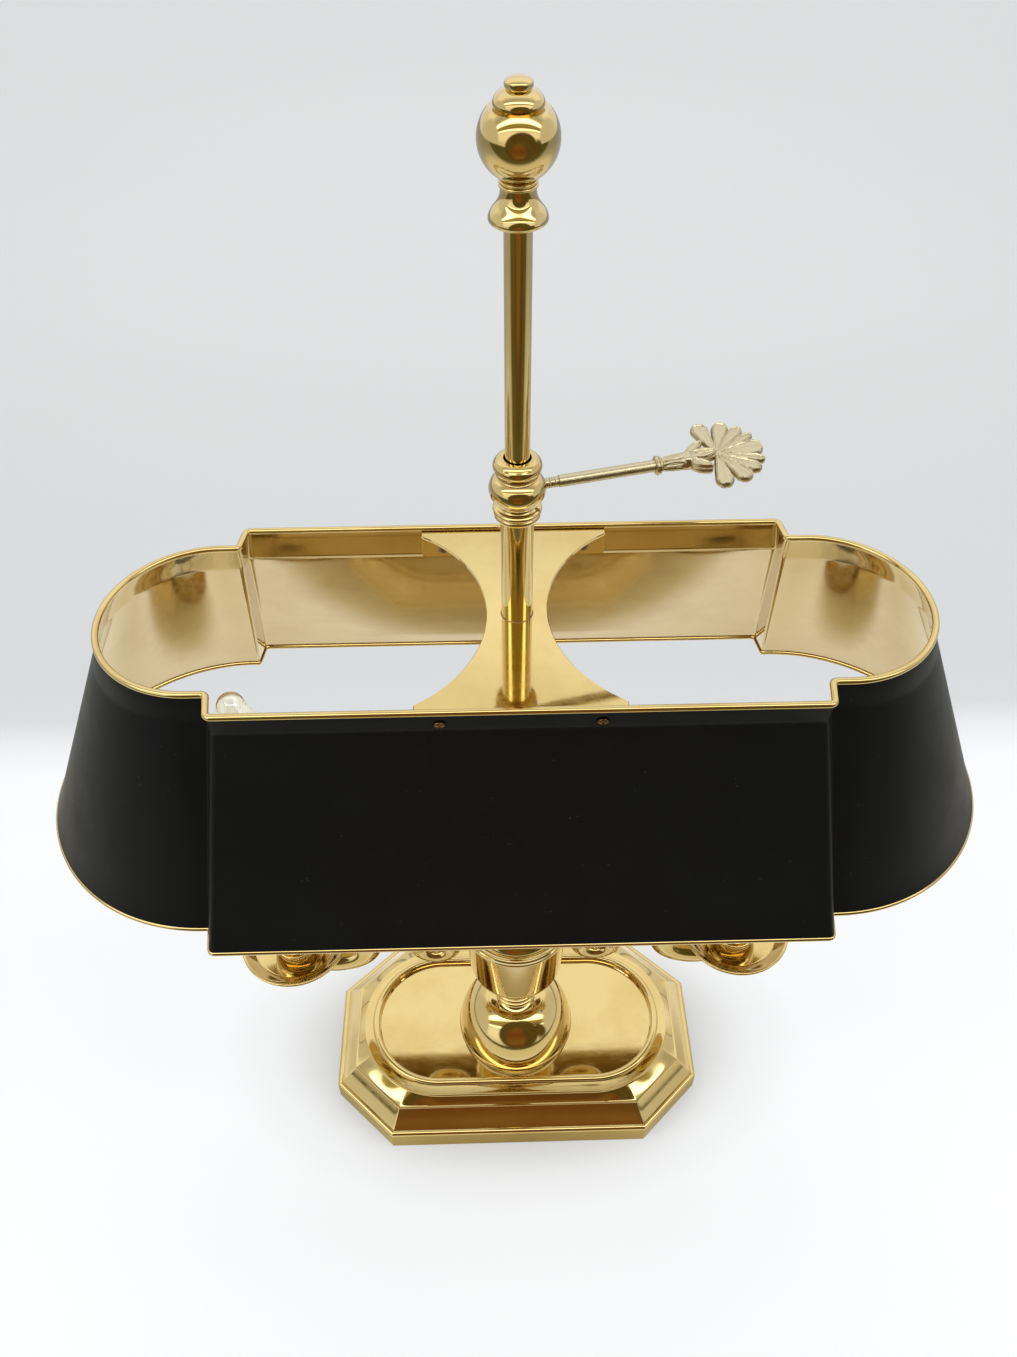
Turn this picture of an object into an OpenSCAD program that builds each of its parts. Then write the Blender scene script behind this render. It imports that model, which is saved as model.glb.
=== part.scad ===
// Bouillotte lamp: two candle lights on scroll arms under one oblong shade,
// which slides up and down a centre rod and is held there by a palmette thumb screw.
// Z is up, X runs along the arms, and the origin is on the table under the rod.

/* [Base] */
// Length of the plinth
plinth_l = 210.5; // [180:0.5:240]
// Depth of the plinth
plinth_d = 122; // [110:1:136]
// Length cut off each corner, along X
corner_x = 33; // [22:1:36]
// Length cut off each corner, along Y
corner_y = 31; // [20:1:32]
// Height of the plinth
plinth_h = 15; // [13:0.5:20]
// Rounding of the plinth's upper edge
plinth_round = 2.5; // [1:0.25:3.5]
// Height of the fluted moulding between the plinth and the top
moulding_h = 18; // [14:0.5:24]
// Width of the moulding on the long sides
moulding_w = 15.4; // [14:0.2:18]
// Height of the ledge inside the moulding, above the plinth
ledge_h = 11; // [8:0.2:12]
// Distance of the ledge inside the plinth's edge
ledge_in = 12; // [9:0.2:13]
// Distance between the centres of the two round ends of the top
top_centres = 88; // [70:1:96]
// Radius of the rim bead's middle line round the well
well_bead_line = 38.5; // [36:0.1:40]
// Radius of the rim bead's section
well_bead = 2.1; // [1.5:0.1:2.5]
// Depth of the well under the top
well_depth = 1.6; // [1:0.1:3]
// Wall of the base casting
base_wall = 4; // [3:0.25:5]
// Thickness of the felt
felt_t = 2; // [1.5:0.25:2.5]
// Thickness of the bottom plate over the felt
cover_t = 1; // [0.8:0.1:1.5]
// Thickness of the iron weight's slab
weight_t = 8; // [6:0.5:9]
// Radius of the hole in the cord bushing
cord_r = 3; // [2.5:0.1:3.5]

/* [Column] */
// Radius of the threaded pipe that holds the column together
pipe_r = 5; // [4.5:0.1:5.5]
// Bore of the pipe
pipe_bore = 3.5; // [3:0.1:3.8]
// Radius of the domed foot
foot_r = 32.5; // [28:0.5:35]
// Height of the domed foot
foot_h = 35; // [30:0.5:40]
// Radius of the reeded collar above the foot
reed_r = 12; // [10.5:0.25:14]
// Height of each of the three reeds
reed_h = 3.6; // [3:0.2:4.5]
// Height of the neck between the reeds and the cup
neck_h = 20; // [14:0.5:26]
// Radius of the neck
neck_r = 8.6; // [7.6:0.2:10]
// Radius of the cup's wall at its foot
cup_low_r = 25; // [23:0.25:27]
// Radius of the cup's wall under its lip
cup_high_r = 27; // [25:0.25:29]
// Height of the cup
cup_h = 50; // [44:0.5:56]
// Wall of the cup
cup_wall = 2.4; // [2:0.1:3]
// Height of the domed cap on the cup
cap_h = 12; // [9:0.5:16]
// Height of the rod socket on the cap
socket_h = 36; // [28:0.5:44]
// Depth of the rod in the socket
rod_seat = 20; // [14:0.5:24]

/* [Rod and finial] */
// Radius of the centre rod
rod_r = 4.2; // [3.7:0.1:4.5]
// Height of the finial's foot above the table
finial_z = 509; // [480:0.5:530]
// Largest radius of the finial's ball
ball_r = 11.35; // [9.5:0.05:13]
// Largest radius of the finial's bell foot
bell_r = 8.6; // [7.5:0.1:10]
// Height of the finial's bell foot and neck
bell_h = 11.7; // [10:0.1:14]
// Depth of the rod in the finial
finial_grip = 9; // [6:0.5:10]

/* [Arms and candles] */
// Distance from the rod to each candle
candle_x = 117; // [112:1:122]
// Radius of the arm at the cup
arm_root_r = 4.2; // [3.4:0.1:4.6]
// Largest radius of the arm, at its lowest bend
arm_bend_r = 7.6; // [6:0.1:7.8]
// Radius of the arm's first bend, beside the cup
small_bend = 10; // [8.5:0.25:10.5]
// Radius of the arm's rise between its two low bends
hump_bend = 12.5; // [11.5:0.25:13]
// Depth of the arm's large bend under the drip pan
arm_sag = 13; // [12:0.25:15]
// Radius of the drip pan
pan_r = 28.2; // [25:0.2:31]
// Height of the drip pan's rim above the table
pan_z = 130; // [127:0.5:134]
// Depth of the drip pan
pan_depth = 6; // [5:0.25:7]
// Thickness of the pan's metal
pan_t = 1.2; // [1:0.1:1.6]
// Radius of the candle sleeve
sleeve_r = 11; // [10.4:0.1:12]
// Length of the candle sleeve
sleeve_l = 106; // [80:1:112]
// Wall of the candle sleeve
sleeve_t = 1; // [0.8:0.1:1.4]
// Height of the candle cup
candle_cup_h = 20; // [16:0.5:24]
// Radius of the bulb's screw cap
bulb_cap_r = 6.9; // [6.5:0.1:7.1]
// Largest radius of the bulb's glass
bulb_r = 17.5; // [15:0.25:18]
// Length of the left bulb's glass
bulb_l = 73.5; // [66:0.5:80]
// Length of the right bulb's glass, which is a shorter kind
bulb_short_l = 58; // [54:1:80]

/* [Shade] */
// Height of the shade's upper rim above the table
shade_z = 361.3; // [350:0.5:372]
// Height of the shade
shade_h = 98.9; // [88:0.5:110]
// Height of the upright neck band under the rim
neck_band = 11.7; // [11:0.1:14]
// Distance from the rod to each flat panel, at the rim
panel_y = 51; // [48:0.1:56]
// How far each panel leans in over the neck band
panel_lean = 2.8; // [2:0.1:3.4]
// Distance from the rod to each flat panel, at the lower edge
panel_low_y = 84.8; // [76:0.2:92]
// Half the width of each flat panel, at the rim
panel_x = 109; // [100:0.5:110]
// Half the width of each flat panel, at the lower edge
panel_low_x = 121.5; // [112:0.5:122.5]
// Radius of the round ends, at the rim
end_r = 40; // [38:0.1:42]
// Radius of the round ends, at the lower edge
end_low_r = 73.7; // [68:0.1:78]
// Distance from the rod to the middle of the round ends, at the rim
end_x = 117.5; // [116:0.5:124]
// Distance from the rod to the middle of the round ends, at the lower edge
end_low_x = 125.5; // [124:0.5:132]
// How far the panel's side walls lean outwards
return_lean = 1.6; // [1:0.1:2.4]
// Thickness of the shade's metal
shade_t = 0.8; // [0.6:0.05:0.95]
// Radius of the rolled bead round the upper rim
rim_bead = 1.35; // [1.3:0.05:1.7]
// Radius of the rolled bead round the lower edge
low_bead = 1.1; // [1.1:0.05:1.5]

/* [Bridge and sleeve] */
// Width of the bridge plate at the shade's walls
bridge_w = 75; // [70:0.5:82]
// Width of the bridge plate at its waist
waist_w = 23; // [20:0.5:26]
// Thickness of the bridge plate
bridge_t = 1.5; // [1.2:0.1:2]
// Depth of the bridge plate's face under the rim
bridge_drop = 0.6; // [0.4:0.1:1.2]
// Height of the bridge plate's turned-down flanges
flange_h = 10.8; // [10:0.1:11]
// Radius of the sleeve tube
tube_r = 5.9; // [5.6:0.05:6.2]
// Height of the sleeve tube above the bridge plate
tube_l = 45.8; // [38:0.2:52]
// Largest radius of the collar on the sleeve tube
collar_r = 9.9; // [9:0.1:11]
// Height of the collar
collar_h = 24; // [23:0.1:25]
// Spacing of the two screws in each panel
screw_gap = 57.4; // [50:0.2:62]
// Radius of the screws that hold the shade
screw_r = 1.25; // [1:0.05:1.35]

/* [Thumb screw] */
// Turn of the thumb screw away from the X axis
key_angle = 13.3; // [10:0.1:25]
// Roll of the palmette about the screw
key_roll = -86; // [-110:1:-60]
// Radius of the screw's thread
key_thread_r = 1.85; // [1.7:0.05:2.1]
// Length of the screw's thread
key_thread = 10.2; // [9:0.1:14]
// Radius of the screw's plain shank
key_shank_r = 2.1; // [1.8:0.05:2.3]
// Length of the screw's plain shank
key_shank = 34.6; // [28:0.1:38]
// Length of the palmette's leafy stem
key_stem = 23; // [22:0.5:28]
// Length of the palmette's longest petals
petal_l = 17; // [14:0.2:19]

/* [Clearances] */
// Between the rod and what slides or turns on it
run_gap = 0.08; // [0.02:0.01:0.1]
// Between pieces that are screwed or set together
fit_gap = 0.1; // [0.05:0.01:0.2]
// Between the screw's tip and the rod
tip_gap = 0.3; // [0.2:0.05:0.5]

/* [Hidden] */
$fn = 64;

brass = "gold";
dark_brass = "darkgoldenrod";

lip_h = 5;

// Heights above the table, from the bottom up
cover_z = felt_t;
weight_z = felt_t + cover_t + 0.2;
top_z = plinth_h + moulding_h;
well_z = top_z - well_depth;
plate_under_z = well_z - base_wall;
foot_z = well_z;
reeds_z = foot_z + foot_h;
cup_z = reeds_z + 3 * reed_h + neck_h;
cap_z = cup_z + cup_h;
socket_z = cap_z + cap_h;
socket_top = socket_z + socket_h;
rod_z = socket_top - rod_seat;
arm_rise = cup_h - lip_h - 7.5;
arm_z = cup_z + arm_rise;
low_z = shade_z - shade_h;
bridge_z = shade_z - bridge_drop;
collar_z = bridge_z + tube_l;
key_z = collar_z + collar_h * 0.48125;
pan_floor = pan_z - pan_depth;
sleeve_z = pan_floor + 14;
sleeve_top = sleeve_z + sleeve_l;

// Half sizes of the plinth, and its cut corners' faces
half_l = plinth_l / 2;
half_d = plinth_d / 2;
corner_face = norm([corner_x, corner_y]);
corner_normal = [corner_y, corner_x] / corner_face;
corner_reach = (half_l - corner_x) * corner_normal.x + half_d * corner_normal.y;
top_cx = top_centres / 2;
top_r = half_d - moulding_w;

// Steps round the shade's ends, and sides of a bead's section
arc_steps = 22;
bead_sides = 8;

// Cup wall radius at a height above the cup's foot
function cup_wall_r(h) = cup_low_r + (cup_high_r - cup_low_r) * h / (cup_h - lip_h);

// ---------- Lofts and sweeps ----------

// Triangles between rings of n points; a loop also joins the last ring to the first
function skin(n, rings, loop) = [
    for (r = [0 : rings - (loop ? 1 : 2)], i = [0 : n - 1])
        each let (a = r * n + i, b = r * n + (i + 1) % n,
            c = ((r + 1) % rings) * n + (i + 1) % n, d = ((r + 1) % rings) * n + i)
            [[a, d, c], [a, c, b]]];

// Unit normal to the right of the step from a to b
function step_normal(a, b) = let (v = (b - a) / norm(b - a)) [v.y, -v.x];

// Closed path moved outwards by d, with mitred corners
function outset(p, d) = let (n = len(p)) [
    for (i = [0 : n - 1])
        let (u = step_normal(p[(i + n - 1) % n], p[i]), w = step_normal(p[i], p[(i + 1) % n]))
            p[i] + d * (u + w) / (1 + u * w)];

function lift(p, z) = [for (q = p) [q.x, q.y, z]];

function middle(ring) = [for (c = [0 : 2]) [for (q = ring) q[c]] * [for (q = ring) 1] / len(ring)];

// Solid through stacked rings, with flat ends
module stack(rings) {
    n = len(rings[0]);
    k = len(rings);
    polyhedron(concat([for (r = rings) each r], [middle(rings[0]), middle(rings[k - 1])]),
        concat([for (i = [0 : n - 1]) [i, (i + 1) % n, n * k]],
            [for (i = [0 : n - 1]) [(k - 1) * n + (i + 1) % n, (k - 1) * n + i, n * k + 1]],
            skin(n, k, false)), convexity = 8);
}

// Solid ring through rings that close on themselves
module hoop(rings) {
    polyhedron([for (r = rings) each r], skin(len(rings[0]), len(rings), true), convexity = 8);
}

// Tube along points [x, z] in the XZ plane, with a radius at each point
module bar(path, radii, sides) {
    n = len(path);
    rings = [for (k = [0 : n - 1])
        let (v = path[min(k + 1, n - 1)] - path[max(k - 1, 0)], t = v / norm(v))
            [for (s = [0 : sides - 1])
                let (a = -360 * s / sides, r = radii[k])
                    [path[k].x - t.y * r * cos(a), r * sin(a), path[k].y + t.x * r * cos(a)]]];
    stack(rings);
}

// Point at t on a cubic curve with four control points
function cubic(p, t) =
    (1 - t) ^ 3 * p[0] + 3 * t * (1 - t) ^ 2 * p[1] + 3 * t ^ 2 * (1 - t) * p[2] + t ^ 3 * p[3];

// Points of an arc in a profile, from angle a0 to a1
function arc(cx, cy, rx, ry, a0, a1, steps) = [
    for (k = [0 : steps]) let (a = a0 + (a1 - a0) * k / steps) [cx + rx * cos(a), cy + ry * sin(a)]];

module hex_nut(across, bore, h) {
    difference() {
        cylinder(r = across / sqrt(3), h = h, $fn = 6);
        translate([0, 0, -1]) cylinder(r = bore, h = h + 2);
    }
}

// ---------- Base ----------

// Corner points of the octagon, moved in by an inset
function octagon(inset) =
    let (l = half_l - inset, d = half_d - inset, c = corner_reach - inset,
        x = (c - d * corner_normal.y) / corner_normal.x, y = (c - l * corner_normal.x) / corner_normal.y)
        [[-x, -d], [x, -d], [l, -y], [l, y], [x, d], [-x, d], [-l, y], [-l, -y]];

// Shares of each long side, end and corner face at which a ring has its points
long_shares = [0, 0.08, 0.17, 0.83, 0.92];
short_shares = [0, 0.2, 0.4, 0.6, 0.8];

function octagon_ring(inset) = let (v = octagon(inset)) [
    for (k = [0 : 7]) each [for (f = (k == 0 || k == 4) ? long_shares : short_shares)
        v[k] + f * (v[(k + 1) % 8] - v[k])]];

// Point on the stadium of radius r that faces the point p
function on_stadium(p, r) =
    let (q = [max(-top_cx, min(top_cx, p.x)), 0], v = p - q) q + r * v / norm(v);

function stadium_ring(r) = [for (p = octagon_ring(ledge_in)) on_stadium(p, r)];

// Ring between an octagon and the edge of the top, at the share t
function blend_ring(inset, t) = let (p = octagon_ring(inset)) [
    for (q = p) (1 - t) * q + t * on_stadium(q, top_r)];

module base_body() {
    quirk = plinth_round + 0.4;
    ledge_z = plinth_h + ledge_h;
    slope_w = ledge_in - 0.9 - quirk - 0.3;
    bead_z = top_z + 0.3;
    stack(concat(
        [lift(octagon_ring(0), 0)],
        [for (a = [0 : 30 : 90]) lift(octagon_ring(plinth_round * (1 - cos(a))),
            plinth_h - plinth_round * (1 - sin(a)))],
        [lift(octagon_ring(quirk), plinth_h)],
        [for (t = [0 : 0.25 : 1]) lift(octagon_ring(quirk + 0.3 + slope_w * t),
            plinth_h + 0.3 + (ledge_h - 1.5) * t ^ 1.1)],
        [lift(octagon_ring(ledge_in - 0.9), ledge_z)],
        [lift(octagon_ring(ledge_in), ledge_z + 0.1)],
        [for (t = [0.15, 0.3, 0.5, 0.7, 0.86]) lift(blend_ring(ledge_in, t),
            ledge_z + 0.1 + (top_z - ledge_z - 1) * t ^ 1.5)],
        [lift(stadium_ring(top_r), top_z - 0.9)],
        [lift(stadium_ring(top_r - 0.4), top_z)],
        [for (a = [0 : 30 : 180]) lift(stadium_ring(well_bead_line + well_bead * cos(a)),
            bead_z + well_bead * sin(a))],
        [lift(stadium_ring(well_bead_line - well_bead), well_z)]));
}

module stadium(r, h) {
    linear_extrude(h) {
        for (s = [-1, 1]) translate([s * top_cx, 0]) circle(r = r);
        square([2 * top_cx, 2 * r], center = true);
    }
}

bushing_r = cord_r + 2;
bushing_z = plinth_h / 2;

module base_shell() {
    color(brass) difference() {
        base_body();
        translate([0, 0, -1]) linear_extrude(weight_z + weight_t + 1.8) polygon(octagon(base_wall));
        stadium(well_bead_line - well_bead - 1, plate_under_z);
        translate([0, 0, well_z - 8]) cylinder(r = pipe_r + fit_gap, h = 12);
        translate([0, half_d - base_wall - 3, bushing_z]) rotate([-90, 0, 0])
            cylinder(r = bushing_r + fit_gap, h = base_wall + 6);
    }
}

nut_h = 4;
nut_z = weight_z + 1.3;
washer_z = nut_z + nut_h;
washer_t = 1.5;

module base_weight() {
    color("dimgray") difference() {
        union() {
            translate([0, 0, weight_z]) linear_extrude(weight_t) polygon(octagon(base_wall + 0.6));
            translate([0, 0, weight_z]) cylinder(r = pipe_r + 14, h = plate_under_z - weight_z);
        }
        translate([0, 0, weight_z - 1]) cylinder(r = pipe_r + 10, h = washer_z + washer_t - weight_z + 1);
        cylinder(r = pipe_r + fit_gap, h = top_z);
        translate([-bushing_r - 4, half_d - base_wall - 16, weight_z - 1])
            cube([2 * bushing_r + 8, 20, weight_t + 2]);
    }
}

module base_cover() {
    color("silver") translate([0, 0, cover_z]) linear_extrude(cover_t) difference() {
        polygon(octagon(base_wall + fit_gap));
        translate([-bushing_r - 1, half_d - base_wall - 2]) square([2 * bushing_r + 2, 4]);
    }
}

module base_felt() {
    color("darkgreen") linear_extrude(felt_t) polygon(octagon(base_wall + 0.4));
}

module base_washer() {
    color("silver") translate([0, 0, washer_z]) difference() {
        cylinder(r = pipe_r + 7, h = washer_t);
        translate([0, 0, -1]) cylinder(r = pipe_r + fit_gap, h = washer_t + 2);
    }
}

module base_nut() {
    color("silver") translate([0, 0, nut_z]) hex_nut(pipe_r * 3.4, pipe_r + fit_gap, nut_h);
}

module cord_bushing() {
    color("black") translate([0, half_d, bushing_z]) rotate([-90, 0, 0]) difference() {
        union() {
            translate([0, 0, -base_wall - 1]) cylinder(r = bushing_r, h = base_wall + 1.5);
            translate([0, 0, 0]) cylinder(r1 = bushing_r + 1.6, r2 = bushing_r + 0.4, h = 1.6);
        }
        translate([0, 0, -base_wall - 3]) cylinder(r = cord_r, h = base_wall + 8);
    }
}

// ---------- Column ----------

module lamp_pipe() {
    color("silver") translate([0, 0, weight_z + 0.8]) difference() {
        cylinder(r = pipe_r, h = rod_z - 2 - weight_z - 0.8);
        translate([0, 0, -1]) cylinder(r = pipe_bore, h = rod_z);
    }
}

// Turned piece on the column: a profile of [radius, height] points with a bore
module turned(profile, bore) {
    top = profile[len(profile) - 1].y;
    rotate_extrude() polygon(concat([[bore, profile[0].y]], profile, [[bore, top]]));
}

module column_foot() {
    shoulder = foot_h * 0.82;
    waist = reed_r - 3;
    dome = arc(0, 2.2, foot_r, foot_h * 0.94, 0, 60, 12);
    last = dome[len(dome) - 1];
    color(brass) translate([0, 0, foot_z]) turned(concat(
        [[foot_r + 0.6, 0], [foot_r + 0.6, 1.2]],
        dome,
        arc(last.x, foot_h, last.x - waist, foot_h - last.y, 270, 180, 6)), pipe_r + fit_gap);
}

module column_reeds() {
    top = 3 * reed_h + neck_h;
    color(brass) translate([0, 0, reeds_z]) turned(concat(
        [[reed_r - 3, 0]],
        [for (k = [0 : 2])
            each arc(reed_r - reed_h / 2 - 0.3 * k, reed_h * (k + 0.5), reed_h / 2, reed_h / 2, -80, 80, 6)],
        arc(neck_r + 2, 3 * reed_h + 3.4, 2, 3, 250, 180, 4),
        [[neck_r, top - 5]],
        arc(neck_r + 4, top - 4.5, 4, 4.5, 180, 90, 5)), pipe_r + fit_gap);
}

module cup_skin(inset) {
    wall_top = cup_h - lip_h;
    r = cup_low_r - inset;
    rotate_extrude() polygon(concat(
        [[0, inset], [15, inset]],
        arc(r - 6, 9, 6, 8.5 - inset, -80, 0, 6),
        [[cup_wall_r(wall_top) - inset, wall_top]],
        inset > 0 ? [[cup_wall_r(wall_top) - inset, cup_h + 1], [0, cup_h + 1]]
            : concat(arc(cup_high_r + 0.4, wall_top + 1.2, 1.2, 1.2, -90, 90, 5),
                [[cup_high_r + 1.6, wall_top + 3.2], [cup_high_r + 1.6, cup_h], [0, cup_h]])));
}

module column_cup() {
    color(brass) translate([0, 0, cup_z]) difference() {
        cup_skin(0);
        cup_skin(cup_wall);
        translate([0, 0, -1]) cylinder(r = pipe_r + fit_gap, h = cup_h);
        translate([0, 0, arm_rise]) rotate([0, 90, 0])
            cylinder(r = stud_r + fit_gap, h = 3 * cup_high_r, center = true);
    }
}

module cup_cap() {
    color(brass) translate([0, 0, cap_z]) turned(concat(
        [[cup_high_r + 1.2, 0], [cup_high_r + 1.2, 1.5]],
        arc(9, 1.5, cup_high_r - 10, cap_h - 3.5, 0, 90, 10),
        [[9, cap_h]]), pipe_r + fit_gap);
}

module rod_socket() {
    h = socket_h;
    color(brass) translate([0, 0, socket_z]) difference() {
        turned(concat(
            [[12, 0]],
            arc(11, 2, 2, 2, -90, 90, 6),
            arc(11, h * 0.2, 3.5, 3.2, 270, 180, 4),
            arc(7, h * 0.42, 5, h * 0.2, -70, 70, 8),
            arc(8.6, h * 0.66, 1.6, 1.4, -90, 90, 5),
            [[7, h * 0.72], [6.2, h * 0.9]],
            arc(6, h - 1.6, 1.6, 1.6, -60, 90, 5)), rod_r + run_gap);
        translate([0, 0, -1]) cylinder(r = pipe_r + fit_gap, h = rod_z - socket_z + 1);
    }
}

// ---------- Arms ----------

stud_r = 2.5;
arm_end_z = pan_floor - pan_t - 1.4;
leg_x = cup_high_r + 6;
hump_x = leg_x + 2 * small_bend + hump_bend;
last_leg_x = hump_x + hump_bend;
big_bend = (candle_x - last_leg_x) / 2;
small_z = arm_z - 16;
hump_z = arm_z - 5;
big_z = arm_end_z + 0.6;

// Middle line of an arm, from the cup out and round its two bends to the drip pan
arm_path = concat(
    [[cup_high_r - 2, arm_z]],
    arc(leg_x - 5, arm_z - 5, 5, 5, 90, 0, 4),
    arc(leg_x + small_bend, small_z, small_bend, small_bend, 180, 360, 9),
    arc(hump_x, hump_z, hump_bend, hump_bend, 180, 0, 9),
    arc(last_leg_x + big_bend, big_z, big_bend, arm_sag, 180, 350, 13),
    [[candle_x, arm_end_z - 0.6], [candle_x, arm_end_z]]);

function arm_width(t) = t < 0.4 ? arm_root_r
    : t < 0.85 ? arm_root_r + (arm_bend_r - arm_root_r) * (1 - cos((t - 0.4) / 0.45 * 180)) / 2
    : arm_bend_r - (t - 0.85) * 6;

module arm_shape() {
    last = len(arm_path) - 1;
    difference() {
        union() {
            bar(arm_path, [for (k = [0 : last]) arm_width(k / last)], 12);
            translate([cup_high_r - 3, 0, arm_z]) rotate([0, 90, 0]) cylinder(r = arm_root_r + 2, h = 5.5);
            translate([candle_x, 0, arm_end_z - 1.8]) cylinder(r = arm_bend_r + 0.8, h = 1.8);
        }
        translate([0, 0, cup_z])
            cylinder(r1 = cup_wall_r(0) + fit_gap, r2 = cup_wall_r(cup_h) + fit_gap, h = cup_h);
    }
    translate([cup_wall_r(arm_rise) - cup_wall - 5.5, 0, arm_z]) rotate([0, 90, 0])
        cylinder(r = stud_r, h = 12);
    translate([candle_x, 0, arm_end_z - 1]) cylinder(r = stud_r, h = pan_floor + 9 - arm_end_z);
}

module arm_left() {
    color(brass) mirror([1, 0, 0]) arm_shape();
}

module arm_right() {
    color(brass) arm_shape();
}

module arm_nuts() {
    color("silver") for (s = [0, 180]) rotate([0, 0, s])
        translate([cup_wall_r(arm_rise) - cup_wall - 4.4, 0, arm_z]) rotate([0, 90, 0])
            hex_nut(stud_r * 3.4, stud_r + fit_gap, 3.6);
}

// ---------- Candles ----------

module drip_pan() {
    rim = pan_depth;
    flat = pan_r * 0.7;
    translate([0, 0, pan_floor]) rotate_extrude() polygon(concat(
        [[stud_r + fit_gap, 0], [flat, 0]],
        arc(flat, 1.6, 2.5, 1.6, -90, -25, 4),
        [[pan_r - 1.4, rim - 0.7]],
        arc(pan_r - 0.9, rim - 0.9, 0.9, 0.9, 160, -90, 8),
        arc(flat, 1.6 - pan_t, 2.5 + pan_t, 1.6, -25, -90, 4),
        [[9, -pan_t], [9, -pan_t - 1.4], [stud_r + fit_gap, -pan_t - 1.4]]));
}

module candle_cup() {
    seat = sleeve_z - pan_floor;
    h = candle_cup_h;
    translate([0, 0, pan_floor]) difference() {
        rotate_extrude() polygon(concat(
            [[0, 0], [10.5, 0]],
            arc(9.5, 1.2, 1.2, 1.2, -60, 90, 5),
            arc(9.5, 5.4, 2.6, 3, 270, 180, 4),
            arc(sleeve_r - 5.6, 13, 7.4, 6.6, -70, -10, 6),
            [[sleeve_r + 2, h - 1.6]],
            arc(sleeve_r + 1.6, h - 0.8, 1, 0.8, -90, 90, 5),
            [[0, h]]));
        translate([0, 0, seat]) cylinder(r = sleeve_r + fit_gap, h = h);
        translate([0, 0, -1]) cylinder(r = stud_r + fit_gap, h = h);
    }
}

holder_r = sleeve_r - sleeve_t - 0.3;
cap_in = 22;

module lamp_holder() {
    translate([0, 0, sleeve_z]) difference() {
        union() {
            cylinder(r = holder_r, h = sleeve_l - 4);
            translate([0, 0, sleeve_l - 4]) cylinder(r = holder_r - 0.8, h = 3);
        }
        translate([0, 0, sleeve_l - cap_in - 0.5]) cylinder(r = bulb_cap_r + fit_gap, h = cap_in + 2);
    }
}

module candle_sleeve() {
    translate([0, 0, sleeve_z]) difference() {
        cylinder(r = sleeve_r, h = sleeve_l);
        translate([0, 0, -1]) cylinder(r = sleeve_r - sleeve_t, h = sleeve_l + 2);
    }
}

module bulb_cap() {
    translate([0, 0, sleeve_top - cap_in]) {
        cylinder(r = bulb_cap_r, h = cap_in);
        cylinder(r = bulb_cap_r * 0.5, h = 1);
    }
}

module bulb(l) {
    side = [[bulb_r, l * 0.34], [bulb_r, l * 0.62], [8.2, l * 0.8], [6.1, l - 6]];
    translate([0, 0, sleeve_top]) rotate_extrude() polygon(concat(
        [[0, 0], [bulb_cap_r, 0]],
        arc(bulb_r - 11, l * 0.34, 11, l * 0.34 - 1, -75, 0, 8),
        [for (k = [1 : 8]) cubic(side, k / 9)],
        arc(0, l - 6.2, 6.2, 6.2, 5, 90, 6)));
}

module on_candle(side) {
    translate([side * candle_x, 0, 0]) children();
}

module drip_pan_left() { color(brass) on_candle(-1) drip_pan(); }
module drip_pan_right() { color(brass) on_candle(1) drip_pan(); }
module candle_cup_left() { color(brass) on_candle(-1) candle_cup(); }
module candle_cup_right() { color(brass) on_candle(1) candle_cup(); }
module lamp_holder_left() { color("dimgray") on_candle(-1) lamp_holder(); }
module lamp_holder_right() { color("dimgray") on_candle(1) lamp_holder(); }
module candle_sleeve_left() { color("ivory") on_candle(-1) candle_sleeve(); }
module candle_sleeve_right() { color("ivory") on_candle(1) candle_sleeve(); }
module bulb_cap_left() { color("silver") on_candle(-1) bulb_cap(); }
module bulb_cap_right() { color("silver") on_candle(1) bulb_cap(); }
module bulb_left() { color("white", 0.4) on_candle(-1) bulb(bulb_l); }
module bulb_right() { color("white", 0.4) on_candle(1) bulb(bulb_short_l); }

// ---------- Rod and finial ----------

module centre_rod() {
    color(brass) translate([0, 0, rod_z]) cylinder(r = rod_r, h = finial_z + finial_grip - rod_z);
}

module finial() {
    neck = 5.1;
    bell = [[bell_r - 0.1, 1.9], [bell_r - 0.9, 4.8], [neck, 5.2], [neck, bell_h - 2.2]];
    ball_z = bell_h + ball_r * 0.943;
    tier_z = ball_z + ball_r * 0.68;
    color(brass) translate([0, 0, finial_z]) difference() {
        rotate_extrude() polygon(concat(
            [[0, 0], [bell_r - 1.2, 0]],
            arc(bell_r - 1.2, 1.3, 1.2, 1.3, -80, 20, 6),
            [for (k = [1 : 7]) cubic(bell, k / 7)],
            arc(neck - 0.1, bell_h - 1.4, 0.6, 0.5, -80, 90, 4),
            arc(neck - 0.2, bell_h - 0.3, 0.6, 0.5, -80, 90, 4),
            arc(0, ball_z, ball_r, ball_r, -58, 42, 20),
            [[6.4, tier_z]],
            arc(3, tier_z + 0.6, 4, 3.7, 0, 75, 7),
            [[3.5, tier_z + 4.4], [3.85, tier_z + 4.9]],
            arc(0, tier_z + 5.8, 3.85, 1.6, 0, 90, 8)));
        translate([0, 0, -1]) cylinder(r = rod_r + 0.05, h = finial_grip + 1.05);
    }
}

// ---------- Shade ----------

// Outline at a level: half width and depth of the panels, radius and middle of the ends
function shade_outline(w, d, r, cx) = concat(
    [for (k = [0 : arc_steps]) let (a = -90 + 180 * k / arc_steps) [cx + r * cos(a), r * sin(a)]],
    [[w + return_lean, r], [w, d], [-w, d], [-w - return_lean, r]],
    [for (k = [0 : arc_steps]) let (a = 90 + 180 * k / arc_steps) [-cx + r * cos(a), r * sin(a)]],
    [[-w - return_lean, -r], [-w, -d], [w, -d], [w + return_lean, -r]]);

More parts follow.
